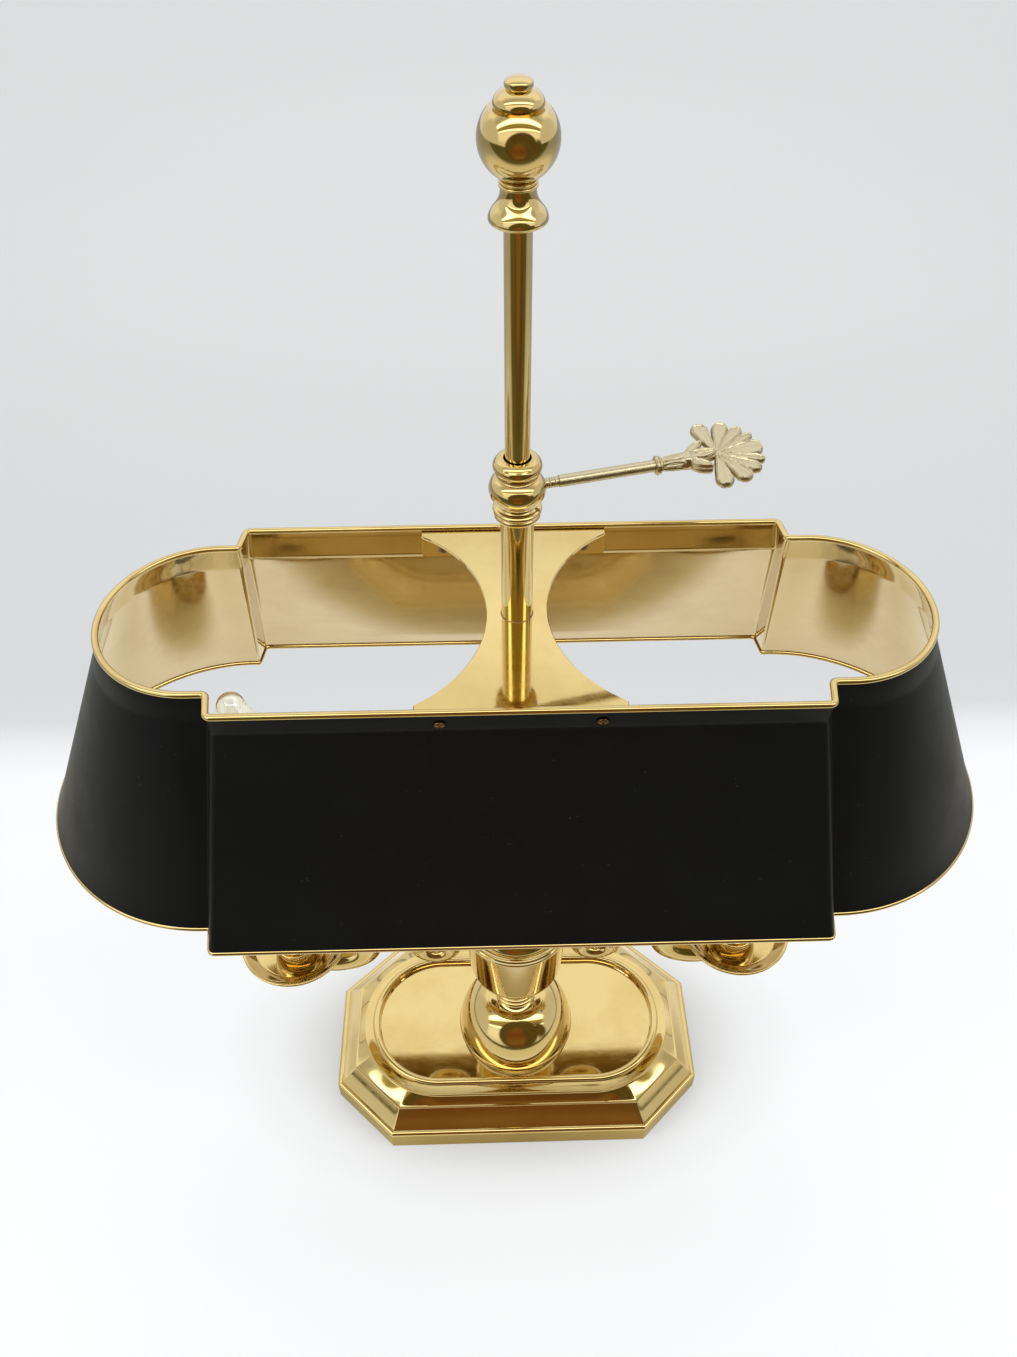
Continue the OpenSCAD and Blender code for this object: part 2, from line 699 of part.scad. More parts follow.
crease_z = shade_z - neck_band;
rim_line = shade_outline(panel_x, panel_y, end_r, end_x);
crease_line = shade_outline(panel_x + 0.6, panel_y - panel_lean, end_r + 1.9, end_x + 1.7);
low_line = shade_outline(panel_low_x, panel_low_y, end_low_r, end_low_x);

// A bead's section has a flat side, on which the sheet's edge stands
function bead_flat(r) = r * cos(180 / bead_sides);

screw_drop = 7.3;
screw_head = screw_r * 1.8;
lean_h = neck_band - bead_flat(rim_bead);
lean_angle = atan2(panel_lean, lean_h);

// Distance from the rod to the middle of a panel's sheet, at a depth under the rim
function panel_at(drop) = panel_y - panel_lean * (drop - bead_flat(rim_bead)) / lean_h;

// Places something on each of the four shade screws, with Z along the screw, outwards
module at_screws() {
    for (sx = [-1, 1], sy = [0, 180]) rotate([0, 0, sy])
        translate([sx * screw_gap / 2, -panel_at(screw_drop), shade_z - screw_drop])
            rotate([90 + lean_angle, 0, 0]) children();
}

module shade_shell() {
    half = shade_t / 2;
    top = shade_z - bead_flat(rim_bead);
    low = low_z + bead_flat(low_bead);
    color("black") difference() {
        hoop([
            lift(outset(low_line, half), low),
            lift(outset(crease_line, half), crease_z),
            lift(outset(rim_line, half), top),
            lift(outset(rim_line, -half), top),
            lift(outset(crease_line, -half), crease_z),
            lift(outset(low_line, -half), low)]);
        at_screws() cylinder(r = screw_r + fit_gap, h = 12, center = true);
    }
}

module bead(line, r, z) {
    hoop([for (s = [0 : bead_sides - 1]) let (a = -90 + 360 * (s + 0.5) / bead_sides)
        lift(outset(line, r * cos(a)), z + r * sin(a))]);
}

module rim_bead_wire() {
    color(brass) bead(rim_line, rim_bead, shade_z);
}

module low_bead_wire() {
    color(brass) bead(low_line, low_bead, low_z);
}

// ---------- Bridge, sleeve and collar ----------

waist_sagitta = (bridge_w - waist_w) / 2;
bridge_reach = panel_at(bridge_drop) - shade_t / 2 - 0.2;
waist_span = bridge_reach - 4;
waist_cut = (waist_span ^ 2 + waist_sagitta ^ 2) / (2 * waist_sagitta);

module bridge_plate() {
    bend = bridge_t;
    color(brass) difference() {
        union() {
            translate([-bridge_w / 2, -bridge_reach + bend, bridge_z - bridge_t])
                cube([bridge_w, 2 * (bridge_reach - bend), bridge_t]);
            for (s = [0, 180]) rotate([0, 0, s])
                translate([-bridge_w / 2, 0, bridge_z]) rotate([90, 0, 90]) linear_extrude(bridge_w)
                    polygon(concat(
                        arc(-bridge_reach + bend + 0.3, -bend, bend, bend, 90, 180, 6),
                        [[-bridge_reach + 0.3 + (flange_h - bend) * tan(lean_angle), -flange_h],
                            [-bridge_reach + 0.3 + (flange_h - bend) * tan(lean_angle) + bend, -flange_h],
                            [-bridge_reach + bend + 0.3, -bend]]));
        }
        for (s = [-1, 1]) translate([s * (waist_w / 2 + waist_cut), 0, bridge_z - 5])
            cylinder(r = waist_cut, h = 10, $fn = 128);
        translate([0, 0, bridge_z - 5]) cylinder(r = tube_r + fit_gap, h = 10);
        at_screws() cylinder(r = screw_r + fit_gap, h = 14, center = true);
    }
}

tube_tail = 7;

module sleeve_tube() {
    color(brass) translate([0, 0, bridge_z - bridge_t - tube_tail]) difference() {
        cylinder(r = tube_r, h = tube_l + bridge_t + tube_tail + 4);
        translate([0, 0, -1]) cylinder(r = rod_r + run_gap, h = tube_l + bridge_t + tube_tail + 6);
    }
}

module tube_nut() {
    color(dark_brass) translate([0, 0, bridge_z - bridge_t - 4])
        hex_nut(tube_r * 3, tube_r + fit_gap, 4);
}

module sleeve_collar() {
    h = collar_h;
    ball = key_z - collar_z;
    color(brass) translate([0, 0, collar_z]) difference() {
        rotate_extrude() polygon(concat(
            [[0, 0], [collar_r - 2.9, 0]],
            arc(collar_r - 2.7, 1.15, 0.95, 1.15, -80, 90, 6),
            arc(collar_r - 2.7, 3.45, 1.4, 1.15, -90, 85, 6),
            arc(collar_r - 2.1, ball * 0.484, 1.3, 1, 220, 140, 3),
            arc(collar_r - 5.6, ball, 5.6, ball * 0.513, -62, 58, 14),
            arc(collar_r - 2, h - 6.3, 0.8, 0.7, 235, 150, 4),
            arc(collar_r - 3.2, h - 3.2, 1.7, 2.3, -50, 50, 7),
            [[collar_r - 2.7, h - 0.8], [collar_r - 3.6, h - 0.1], [collar_r - 4, h], [0, h]]));
        translate([0, 0, -1]) cylinder(r = tube_r + fit_gap, h = 5.1);
        cylinder(r = rod_r + run_gap, h = h + 1);
        translate([0, 0, h - 3]) cylinder(r1 = rod_r + run_gap, r2 = rod_r + 0.6, h = 3.01);
        translate([0, 0, ball]) rotate([0, 0, key_angle]) rotate([0, 90, 0])
            cylinder(r = key_thread_r + run_gap, h = collar_r + 5);
    }
}

module shade_screws() {
    color(dark_brass) at_screws() {
        translate([0, 0, shade_t / 2 + 0.1]) rotate_extrude() polygon(concat(
            [[0, 0], [screw_head, 0]], arc(0, 0.3, screw_head, 1, 0, 90, 6)));
        translate([0, 0, -6]) cylinder(r = screw_r, h = 6.5 + shade_t / 2);
    }
}

module shade_nuts() {
    color("silver") at_screws() translate([0, 0, -shade_t / 2 - bridge_t - 0.3 - 2])
        rotate([0, 0, 30]) hex_nut(screw_r * 3.5, screw_r + fit_gap, 2);
}

// ---------- Thumb screw ----------

// Puts the screw's axis on Z, with its tip at the rod
module on_key() {
    translate([0, 0, key_z]) rotate([0, 0, key_angle]) rotate([0, 90, 0]) rotate([0, 0, key_roll])
        translate([0, 0, rod_r + tip_gap]) children();
}

ferrule_z = key_thread + key_shank;
ferrule_h = 2.2;

module thumb_screw() {
    color("khaki") on_key() {
        rotate_extrude() polygon([[0, 0], [key_thread_r - 0.5, 0], [key_thread_r, 0.6],
            [key_thread_r, key_thread - 0.4], [key_shank_r, key_thread],
            [key_shank_r, ferrule_z], [0, ferrule_z]]);
    }
}

// The fan's middle petal and the four pairs beside it: directions and half widths
petal_angles = [0, 24.5, 42.7, 65.5, 96.8];
petal_widths = [4, 2.1, 2.6, 3.2, 3.3];

// One petal along Z, with a raised rim round a hollowed face on its -Y side
module petal(length, half) {
    stations = [0.05, 0.4, 0.6, 0.78, 0.89, 0.96, 1];
    stack([for (t = stations)
        let (w = t < 0.78 ? 0.6 + (half - 0.6) * (t / 0.78) ^ 0.85
                : half * sqrt(1 - 0.9 * ((t - 0.78) / 0.22) ^ 2),
            rim = t < 0.95 ? 1.3 : 1.3 - (t - 0.95) * 10,
            hollow = rim - 0.8 * sin(180 * t ^ 1.5))
            [[-w, 0, length * t], [-w * 0.84, -rim, length * t], [-w * 0.56, -rim, length * t],
                [-w * 0.3, -hollow, length * t], [w * 0.3, -hollow, length * t],
                [w * 0.56, -rim, length * t], [w * 0.84, -rim, length * t], [w, 0, length * t],
                [w * 0.72, rim * 0.9, length * t], [-w * 0.72, rim * 0.9, length * t]]]);
}

// One leaf at the root of the fan, along Z
module leaf(length, width) {
    hull() {
        sphere(r = 0.8, $fn = 8);
        translate([0, 0, length * 0.55]) scale([1, 0.5, 1.4]) sphere(r = width, $fn = 10);
        translate([0, 0, length]) sphere(r = 0.5, $fn = 8);
    }
}

module palmette_head() {
    color("khaki") on_key() translate([0, 0, ferrule_z]) {
        rotate_extrude($fn = 20) polygon([[0, 0], [2.6, 0], [3.3, 0.7], [2.9, 1.4], [3.2, ferrule_h - 0.2],
            [2, ferrule_h + 0.4], [1.9, ferrule_h + 1.4], [2.1, ferrule_h + 3.8], [2.5, ferrule_h + 6.8],
            [3.3, key_stem - 11.5], [3.4, key_stem - 10], [2.3, key_stem - 5], [1.3, key_stem],
            [0, key_stem]]);
        for (a = [0 : 60 : 300]) rotate([0, 0, a]) hull() {
            translate([2.7, 0, 0.5]) sphere(r = 0.5, $fn = 8);
            translate([2.5, 0, ferrule_h - 0.7]) sphere(r = 0.9, $fn = 8);
        }
        translate([0, -0.5, key_stem]) rotate([3, 2, 0]) {
            petal(petal_l, petal_widths[0]);
            for (s = [-1, 1], k = [1 : 4]) rotate([0, s * petal_angles[k], 0])
                petal(petal_l, petal_widths[k]);
            translate([0, -1.3, -11]) rotate([2, 0, 0]) leaf(10.6, 2.3);
            for (s = [-1, 1], y = [-1, 1]) translate([s * 1.7, y, -10.4]) rotate([0, s * 38, 0])
                leaf(8.4, 1.8);
        }
    }
}

base_shell();
base_weight();
base_cover();
base_felt();
base_washer();
base_nut();
cord_bushing();
lamp_pipe();
column_foot();
column_reeds();
column_cup();
cup_cap();
rod_socket();
arm_left();
arm_right();
arm_nuts();
drip_pan_left();
drip_pan_right();
candle_cup_left();
candle_cup_right();
lamp_holder_left();
lamp_holder_right();
candle_sleeve_left();
candle_sleeve_right();
bulb_cap_left();
bulb_cap_right();
bulb_left();
bulb_right();
centre_rod();
finial();
shade_shell();
rim_bead_wire();
low_bead_wire();
bridge_plate();
sleeve_tube();
sleeve_collar();
tube_nut();
shade_screws();
shade_nuts();
thumb_screw();
palmette_head();
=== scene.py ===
"""Looks of the two-light bouillotte lamp: every visible piece, its finish, and the studio round it."""
import math

import bmesh
import bpy
import numpy as np
from mathutils import Matrix, Vector


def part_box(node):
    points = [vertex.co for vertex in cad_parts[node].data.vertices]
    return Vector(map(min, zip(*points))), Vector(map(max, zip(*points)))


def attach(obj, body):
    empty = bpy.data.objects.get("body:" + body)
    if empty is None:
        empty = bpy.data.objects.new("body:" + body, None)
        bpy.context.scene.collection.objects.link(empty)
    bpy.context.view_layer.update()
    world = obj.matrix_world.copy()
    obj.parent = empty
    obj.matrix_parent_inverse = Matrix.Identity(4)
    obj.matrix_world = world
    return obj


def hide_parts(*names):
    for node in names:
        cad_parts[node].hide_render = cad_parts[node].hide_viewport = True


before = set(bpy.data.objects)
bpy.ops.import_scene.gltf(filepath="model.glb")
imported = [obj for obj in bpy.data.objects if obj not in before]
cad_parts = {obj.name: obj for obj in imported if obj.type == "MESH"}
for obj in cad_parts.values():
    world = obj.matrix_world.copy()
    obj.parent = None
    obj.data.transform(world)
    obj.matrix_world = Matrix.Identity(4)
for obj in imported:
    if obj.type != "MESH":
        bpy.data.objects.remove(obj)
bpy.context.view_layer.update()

bl_info = {
    "name": "Bouillotte Lamp",
    "version": (1, 0, 0),
    "blender": (4, 5, 0),
    "location": "View3D > Sidebar > Lamp",
    "description": "Builds the brass lamp's pieces and finishes round its fixed frame",
    "category": "Object",
}

MM = 0.001
WELD = 1e-7     # points nearer than this, in metres, are one point


# ---------- Sizes, in millimetres, as the frame has them ----------

def span(node):
    """Lowest and highest corner of a frame node, in millimetres."""
    low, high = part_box(node)
    return np.array(low) / MM, np.array(high) / MM


HALF_L = span("base_shell")[1][0]
HALF_D = 61.0
CORNER = (33.0, 31.0)
PLINTH_H = 15.0
PLINTH_ROUND = 2.5
MOULDING_W = 15.4
LEDGE_H = 11.0
LEDGE_IN = 12.0
TOP_CX = 44.0
WELL_LINE = 38.5
WELL_BEAD = 2.1
TOP_Z = 33.0
WELL_Z = 31.4

FOOT_Z = span("column_foot")[0][2]
REEDS_Z = span("column_reeds")[0][2]
CUP_Z = span("column_cup")[0][2]
CAP_Z = span("cup_cap")[0][2]
SOCKET_Z = span("rod_socket")[0][2]
SOCKET_TOP = span("rod_socket")[1][2]
CUP_H = CAP_Z - CUP_Z
LIP_H = 5.0

ROD_R = span("centre_rod")[1][0]
FINIAL_Z = span("finial")[0][2]

PAN_LOW, PAN_HIGH = span("drip_pan_right")
CANDLE_X = (PAN_LOW[0] + PAN_HIGH[0]) / 2
PAN_R = PAN_HIGH[1]
PAN_Z = PAN_HIGH[2]
PAN_DEPTH = 6.0
PAN_T = 1.2
PAN_FLOOR = PAN_Z - PAN_DEPTH
CUP_TOP = span("candle_cup_right")[1][2]
SLEEVE_Z = span("candle_sleeve_right")[0][2]
SLEEVE_TOP = span("candle_sleeve_right")[1][2]
SLEEVE_R = span("candle_sleeve_right")[1][1]
BULB_CAP_R = span("bulb_cap_right")[1][1]

SHADE_T = 0.8
RIM_BEAD = 1.35
LOW_BEAD = 1.1
SHADE_Z = 361.3
LOW_Z = 262.4
CREASE_Z = SHADE_Z - 11.7

BRIDGE_Z = span("bridge_plate")[1][2]
BRIDGE_T = 1.5
TUBE_R = span("sleeve_tube")[1][1]
COLLAR_Z, COLLAR_TOP = span("sleeve_collar")[0][2], span("sleeve_collar")[1][2]
COLLAR_R = span("sleeve_collar")[1][1]

KEY_Z = COLLAR_Z + (COLLAR_TOP - COLLAR_Z) * 0.48125
KEY_ANGLE = 13.3
KEY_ROLL = -86.0
KEY_START = ROD_R + 0.3

FLAG_Y = -640.0


# ---------- Colours ----------

def hex_colour(text):
    """Linear RGBA of an sRGB hex colour."""
    parts = [int(text[k:k + 2], 16) / 255 for k in (1, 3, 5)]
    return tuple(c / 12.92 if c <= 0.04045 else ((c + 0.055) / 1.055) ** 2.4 for c in parts) + (1.0,)


# ---------- Profiles and paths ----------

def arc(cx, cy, rx, ry, a0, a1, steps):
    """Points of an elliptical arc from angle a0 to a1, in degrees."""
    angles = np.radians(np.linspace(a0, a1, steps + 1))
    return [(cx + rx * math.cos(a), cy + ry * math.sin(a)) for a in angles]


def cubic(points, steps, ends=False):
    """Points inside a cubic curve with four control points."""
    p = np.array(points, float)
    ts = np.linspace(0, 1, steps + 1) if ends else np.arange(1, steps) / steps
    return [tuple((1 - t) ** 3 * p[0] + 3 * t * (1 - t) ** 2 * p[1]
                  + 3 * t ** 2 * (1 - t) * p[2] + t ** 3 * p[3]) for t in ts]


def outset(line, d):
    """Closed plan line moved outwards by d, with mitred corners."""
    p = np.array(line, float)
    before, after = p - np.roll(p, 1, 0), np.roll(p, -1, 0) - p
    n = [np.stack([v[:, 1], -v[:, 0]], 1) / np.linalg.norm(v, axis=1)[:, None] for v in (before, after)]
    return p + d * (n[0] + n[1]) / (1 + (n[0] * n[1]).sum(1))[:, None]


def soften(corners, radius, steps=6):
    """Closed plan line with each corner turned into a small arc; radius may be one or one for each."""
    p = np.array(corners, float)
    r = np.broadcast_to(radius, len(p))
    out = []
    for k, here in enumerate(p):
        a, b = p[k - 1] - here, p[(k + 1) % len(p)] - here
        la, lb = np.linalg.norm(a), np.linalg.norm(b)
        a, b = a / la, b / lb
        half = math.acos(max(-1, min(1, a @ b))) / 2
        if r[k] <= 0 or half > math.radians(88.5):
            out.append([here])
            continue
        reach = min(r[k] / math.tan(half), 0.45 * la, 0.45 * lb)
        q0, q1 = here + a * reach, here + b * reach
        ts = np.linspace(0, 1, steps + 1)[:, None]
        out.append((1 - ts) ** 2 * q0 + 2 * ts * (1 - ts) * here + ts ** 2 * q1)
    return out


# ---------- Meshes ----------

def lathe(profile, centre=(0.0, 0.0), steps=128, ring=False):
    """Mesh turned from a (radius, height) profile about an upright axis; a ring's profile is closed."""
    angles = np.linspace(0, 2 * math.pi, steps, endpoint=False)
    verts, faces, rows = [], [], []
    for r, z in profile:
        if r < 1e-6:
            rows.append([len(verts)] * steps)
            verts.append((centre[0], centre[1], z))
        else:
            rows.append(list(range(len(verts), len(verts) + steps)))
            verts += [(centre[0] + r * math.cos(a), centre[1] + r * math.sin(a), z) for a in angles]
    pairs = list(zip(rows, rows[1:])) + ([(rows[-1], rows[0])] if ring else [])
    for low, high in pairs:
        for i in range(steps):
            j = (i + 1) % steps
            face = list(dict.fromkeys([low[i], low[j], high[j], high[i]]))
            if len(face) > 2:
                faces.append(face)
    return verts, faces


def loft(rings, loop=False):
    """Mesh through rings of equally many points, capped unless it is a loop."""
    n, k = len(rings[0]), len(rings)
    verts = [tuple(p) for ring in rings for p in ring]
    faces = []
    for r in range(k if loop else k - 1):
        s = (r + 1) % k
        faces += [(r * n + i, r * n + (i + 1) % n, s * n + (i + 1) % n, s * n + i) for i in range(n)]
    if not loop:
        faces += [tuple(range(n))[::-1], tuple(range((k - 1) * n, k * n))]
    return verts, faces


def tube(path, radii, sides=32):
    """Mesh swept along a path in space with a radius at each point."""
    p = np.array(path, float)
    steps = np.gradient(p, axis=0)
    steps /= np.linalg.norm(steps, axis=1)[:, None]
    rings = []
    side = np.array((0.0, 1.0, 0.0))
    for here, t, r in zip(p, steps, radii):
        b = side - (side @ t) * t
        b /= np.linalg.norm(b)
        n = np.cross(b, t)
        side = b
        angles = np.linspace(0, 2 * math.pi, sides, endpoint=False)
        rings.append([here + r * (math.cos(a) * n + math.sin(a) * b) for a in angles])
    return loft(rings)


def joined(*meshes):
    """Several meshes as one."""
    verts, faces = [], []
    for v, f in meshes:
        start = len(verts)
        verts += [tuple(p) for p in v]
        faces += [tuple(i + start for i in face) for face in f]
    return verts, faces


def placed(mesh, matrix):
    """A mesh with its points moved by a matrix in millimetres."""
    return [tuple(matrix @ Vector(p)) for p in mesh[0]], mesh[1]


def linked(name, data):
    """New object in the scene, at the origin."""
    obj = bpy.data.objects.new(name, data)
    bpy.context.scene.collection.objects.link(obj)
    return obj


def cleaned(name, data, sharp):
    """New object of a mesh with its doubles merged, its faces turned outwards and its sharp edges marked."""
    work = bmesh.new()
    work.from_mesh(data)
    bmesh.ops.remove_doubles(work, verts=work.verts, dist=WELD)
    bmesh.ops.recalc_face_normals(work, faces=work.faces)
    work.to_mesh(data)
    work.free()
    data.shade_smooth()
    data.set_sharp_from_angle(angle=math.radians(sharp))
    return linked(name, data)


def new_object(name, mesh, materials, sharp=35.0, pick=None):
    """Object at the origin from a mesh in millimetres, smooth except at sharp edges."""
    data = bpy.data.meshes.new(name)
    data.from_pydata([tuple(c * MM for c in p) for p in mesh[0]], [], [list(f) for f in mesh[1]])
    for material in materials:
        data.materials.append(material)
    if pick is not None:
        data.polygons.foreach_set("material_index", pick)
    return cleaned(name, data, sharp)


def piece(name, mesh, material, body, node, sharp=35.0, pick=None):
    """A finished piece that rides on a body and stands for a frame node, or for none."""
    materials = material if isinstance(material, list) else [material]
    return kept(new_object(name, mesh, materials, sharp, pick), body, node)


def kept(obj, body, node):
    """Puts a made object on its body, in place of its frame node if it has one."""
    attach(obj, body)
    if node:
        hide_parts(node)
    return obj


# ---------- Node trees ----------

def add(tree, kind, links=None, stops=None, **settings):
    """Adds a node with its settings and its colour ramp's stops. Each link is an input, by name or place, and
    what feeds it: a node, a socket, a hex colour or a value."""
    node = tree.nodes.new(kind)
    for key, value in settings.items():
        setattr(node, key, value)
    for k, (at, colour) in enumerate(stops or ()):
        stop = node.color_ramp.elements[k] if k < 2 else node.color_ramp.elements.new(at)
        stop.position = at
        stop.color = hex_colour(colour)
    names = [socket.name if socket.enabled else "" for socket in node.inputs]
    for key, source in (links or {}).items():
        target = node.inputs[names.index(key) if isinstance(key, str) else key]
        if isinstance(source, bpy.types.Node):
            source = next(socket for socket in source.outputs if socket.enabled)
        if isinstance(source, bpy.types.NodeSocket):
            tree.links.new(source, target)
        elif isinstance(source, str) and source.startswith("#"):
            target.default_value = hex_colour(source)
        else:
            target.default_value = source
    return node


def new_material(name):
    """Empty material, its tree and its object coordinates."""
    material = bpy.data.materials.new(name)
    material.use_nodes = True
    tree = material.node_tree
    tree.nodes.clear()
    return material, tree, add(tree, "ShaderNodeTexCoord").outputs["Object"]


def shaded(material, tone, rough, relief, sockets):
    """Ends a material. Rough is a level, or a noise with its range and the two levels; relief is a noise, its
    strength and its depth in millimetres."""
    tree = material.node_tree
    if isinstance(rough, tuple):
        noise, low, high, smooth, dull = rough
        rough = add(tree, "ShaderNodeMapRange", {
            "Value": noise, "From Min": low, "From Max": high, "To Min": smooth, "To Max": dull})
    noise, strength, depth = relief
    bump = add(tree, "ShaderNodeBump", {"Height": noise, "Strength": strength, "Distance": depth * MM})
    shader = add(tree, "ShaderNodeBsdfPrincipled", {
        "Base Color": tone, "Roughness": rough, "Normal": bump, **sockets})
    add(tree, "ShaderNodeOutputMaterial", {"Surface": shader})
    return material


# ---------- Finishes ----------

FINISH = {}


def make_finishes(colours):
    """All the lamp's finishes."""
    # Turned and buffed brass under clear lacquer: mirror-bright, with faint cloth marks
    FINISH["buffed"] = brass("lacquered_buffed_brass", colours.brass, "#c6a962", 0.04, 0.08, 0.6, 0.0015, 1.0)
    # Cast brass, filed and buffed: bright, with a soft wave left by the casting
    FINISH["cast"] = brass("buffed_cast_brass", "#cdb46e", "#c09d55", 0.06, 0.1, 3.0, 0.02, 1.0)
    # Rolled brass sheet inside the shade: paler, with long smears in its old lacquer
    FINISH["sheet"] = brass("lacquered_rolled_brass", colours.sheet, "#bba064", 0.07, 0.1, 1.2, 0.006, 0.8)
    # Lost-wax brass, pickled and lightly rubbed: pale and duller, with painted shade in its hollows
    FINISH["palmette"] = aged_casting("rubbed_cast_brass", "#c3b897", "#40321a")
    # Steel screws washed with bronze: brown, with bright rubbed tops
    FINISH["bronze"] = brass("bronzed_screw_steel", "#9a7550", "#5d4228", 0.25, 0.2, 0.4, 0.004, 0.0)
    FINISH["paint"] = satin_paint("satin_black_paint", colours.paint)
    FINISH["felt"] = felt("pressed_wool_felt", "#2c4a35")
    FINISH["iron"] = cast_iron("cast_iron", "#3b3a38")
    FINISH["zinc"] = plated("zinc_plated_steel", "#b4b6b4", 0.3)
    FINISH["nickel"] = plated("nickel_plated_brass", "#d0ccc0", 0.14)
    FINISH["rubber"] = moulded("moulded_black_rubber", "#151515", 0.6, 0.8)
    FINISH["phenolic"] = moulded("moulded_phenolic", "#231e1a", 0.35, 1.2)
    FINISH["card"] = moulded("ivory_card_sleeve", "#e9e1cc", 0.5, 2.5)
    FINISH["glass"] = bulb_glass("blown_soda_glass")
    FINISH["filament"] = plated("drawn_tungsten_wire", "#8c8a86", 0.4)


def brass(name, colour, tarnish, rough, smear, grain_mm, relief_mm, coat):
    """Copper and zinc alloy: a warm metal whose colour wanders a little where the lacquer has aged."""
    material, tree, where = new_material(name)
    cloud = add(tree, "ShaderNodeTexNoise", {"Vector": where, "Scale": 28.0, "Detail": 5.0, "Roughness": 0.6})
    wipe = add(tree, "ShaderNodeMapping", {
        "Vector": where, "Scale": (1.0, 3.5, 1.4), "Rotation": (0.3, 0.2, 0.6)})
    streak = add(tree, "ShaderNodeTexNoise", {"Vector": wipe, "Scale": 75.0, "Detail": 6.0, "Roughness": 0.7})
    grain = add(tree, "ShaderNodeTexNoise", {"Vector": where, "Scale": 1000.0 / grain_mm, "Detail": 2.0})
    patches = add(tree, "ShaderNodeValToRGB", {"Fac": cloud}, [(0.42, "#000000"), (0.72, "#ffffff")])
    tone = add(tree, "ShaderNodeMix", {"Factor": patches, "A": colour, "B": tarnish}, data_type="RGBA")
    return shaded(material, tone, (streak, 0.35, 0.75, rough, rough + smear), (grain, 1.0, relief_mm),
                  {"Metallic": 1.0, "Coat Weight": coat, "Coat Roughness": 0.04})


def aged_casting(name, colour, hollow):
    """Cast brass with painted shade in its hollows, which the piece's hollow attribute marks."""
    material, tree, where = new_material(name)
    mark = add(tree, "ShaderNodeAttribute", attribute_name="hollow")
    noise = add(tree, "ShaderNodeTexNoise", {"Vector": where, "Scale": 420.0, "Detail": 6.0, "Roughness": 0.65})
    amount = add(tree, "ShaderNodeMath", {0: mark.outputs["Fac"], 1: noise, 2: -0.18},
                 operation="MULTIPLY_ADD")
    worn = add(tree, "ShaderNodeValToRGB", {"Fac": amount}, [(0.05, "#000000"), (0.55, "#ffffff")])
    tone = add(tree, "ShaderNodeMix", {"Factor": worn, "A": colour, "B": hollow}, data_type="RGBA")
    return shaded(material, tone, (noise, 0.3, 0.75, 0.2, 0.42), (noise, 0.7, 0.06), {"Metallic": 1.0})


def satin_paint(name, colour):
    """Sprayed satin paint: a fine orange peel of about a millimetre, and pale dust specks."""
    material, tree, where = new_material(name)
    peel = add(tree, "ShaderNodeTexNoise", {"Vector": where, "Scale": 900.0, "Detail": 2.0})
    cloud = add(tree, "ShaderNodeTexNoise", {"Vector": where, "Scale": 22.0, "Detail": 6.0, "Roughness": 0.7})
    speck = add(tree, "ShaderNodeTexVoronoi", {"Vector": where, "Scale": 420.0}, feature="F1")
    dots = add(tree, "ShaderNodeValToRGB", {"Fac": speck}, [(0.055, "#ffffff"), (0.11, "#000000")])
    few = add(tree, "ShaderNodeTexNoise", {"Vector": where, "Scale": 160.0, "Detail": 1.0})
    some = add(tree, "ShaderNodeValToRGB", {"Fac": few}, [(0.6, "#000000"), (0.68, "#ffffff")])
    dust = add(tree, "ShaderNodeMath", {0: dots, 1: some}, operation="MULTIPLY")
    tone = add(tree, "ShaderNodeMix", {"Factor": dust, "A": colour, "B": "#4a4a46"}, data_type="RGBA")
    return shaded(material, tone, (cloud, 0.3, 0.7, 0.36, 0.5), (peel, 0.5, 0.02), {"Specular IOR Level": 0.16})


def felt(name, colour):
    """Pressed wool: matt, with matted fibres about half a millimetre apart."""
    material, tree, where = new_material(name)
    fibre = add(tree, "ShaderNodeTexNoise", {
        "Vector": where, "Scale": 1800.0, "Detail": 4.0, "Distortion": 1.5})
    cloud = add(tree, "ShaderNodeTexNoise", {"Vector": where, "Scale": 60.0, "Detail": 3.0})
    tone = add(tree, "ShaderNodeMix", {"Factor": fibre, "A": colour, "B": "#3f6249"}, data_type="RGBA")
    tone = add(tree, "ShaderNodeMix", {"Factor": cloud, "A": tone, "B": "#24402d"}, data_type="RGBA")
    return shaded(material, tone, 0.95, (fibre, 0.9, 0.25), {"Sheen Weight": 0.4})


def cast_iron(name, colour):
    """Sand-cast iron: grey-black with the grain of the sand, about a millimetre."""
    material, tree, where = new_material(name)
    sand = add(tree, "ShaderNodeTexNoise", {"Vector": where, "Scale": 900.0, "Detail": 5.0, "Roughness": 0.7})
    cloud = add(tree, "ShaderNodeTexNoise", {"Vector": where, "Scale": 70.0, "Detail": 5.0})
    rust = add(tree, "ShaderNodeValToRGB", {"Fac": cloud}, [(0.56, "#000000"), (0.72, "#ffffff")])
    tone = add(tree, "ShaderNodeMix", {"Factor": rust, "A": colour, "B": "#5b3a26"}, data_type="RGBA")
    return shaded(material, tone, (sand, 0.0, 1.0, 0.55, 0.8), (sand, 0.8, 0.2), {"Metallic": 0.7})


def plated(name, colour, rough):
    """Plated metal: even and bright, with fine machining marks."""
    material, tree, where = new_material(name)
    marks = add(tree, "ShaderNodeTexNoise", {"Vector": where, "Scale": 700.0, "Detail": 3.0})
    cloud = add(tree, "ShaderNodeTexNoise", {"Vector": where, "Scale": 90.0, "Detail": 3.0})
    dull = tuple(c * 0.72 for c in hex_colour(colour)[:3]) + (1.0,)
    tone = add(tree, "ShaderNodeMix", {"Factor": cloud, "A": colour, "B": dull}, data_type="RGBA")
    return shaded(material, tone, (marks, 0.0, 1.0, rough, rough + 0.15), (marks, 0.4, 0.01), {"Metallic": 1.0})


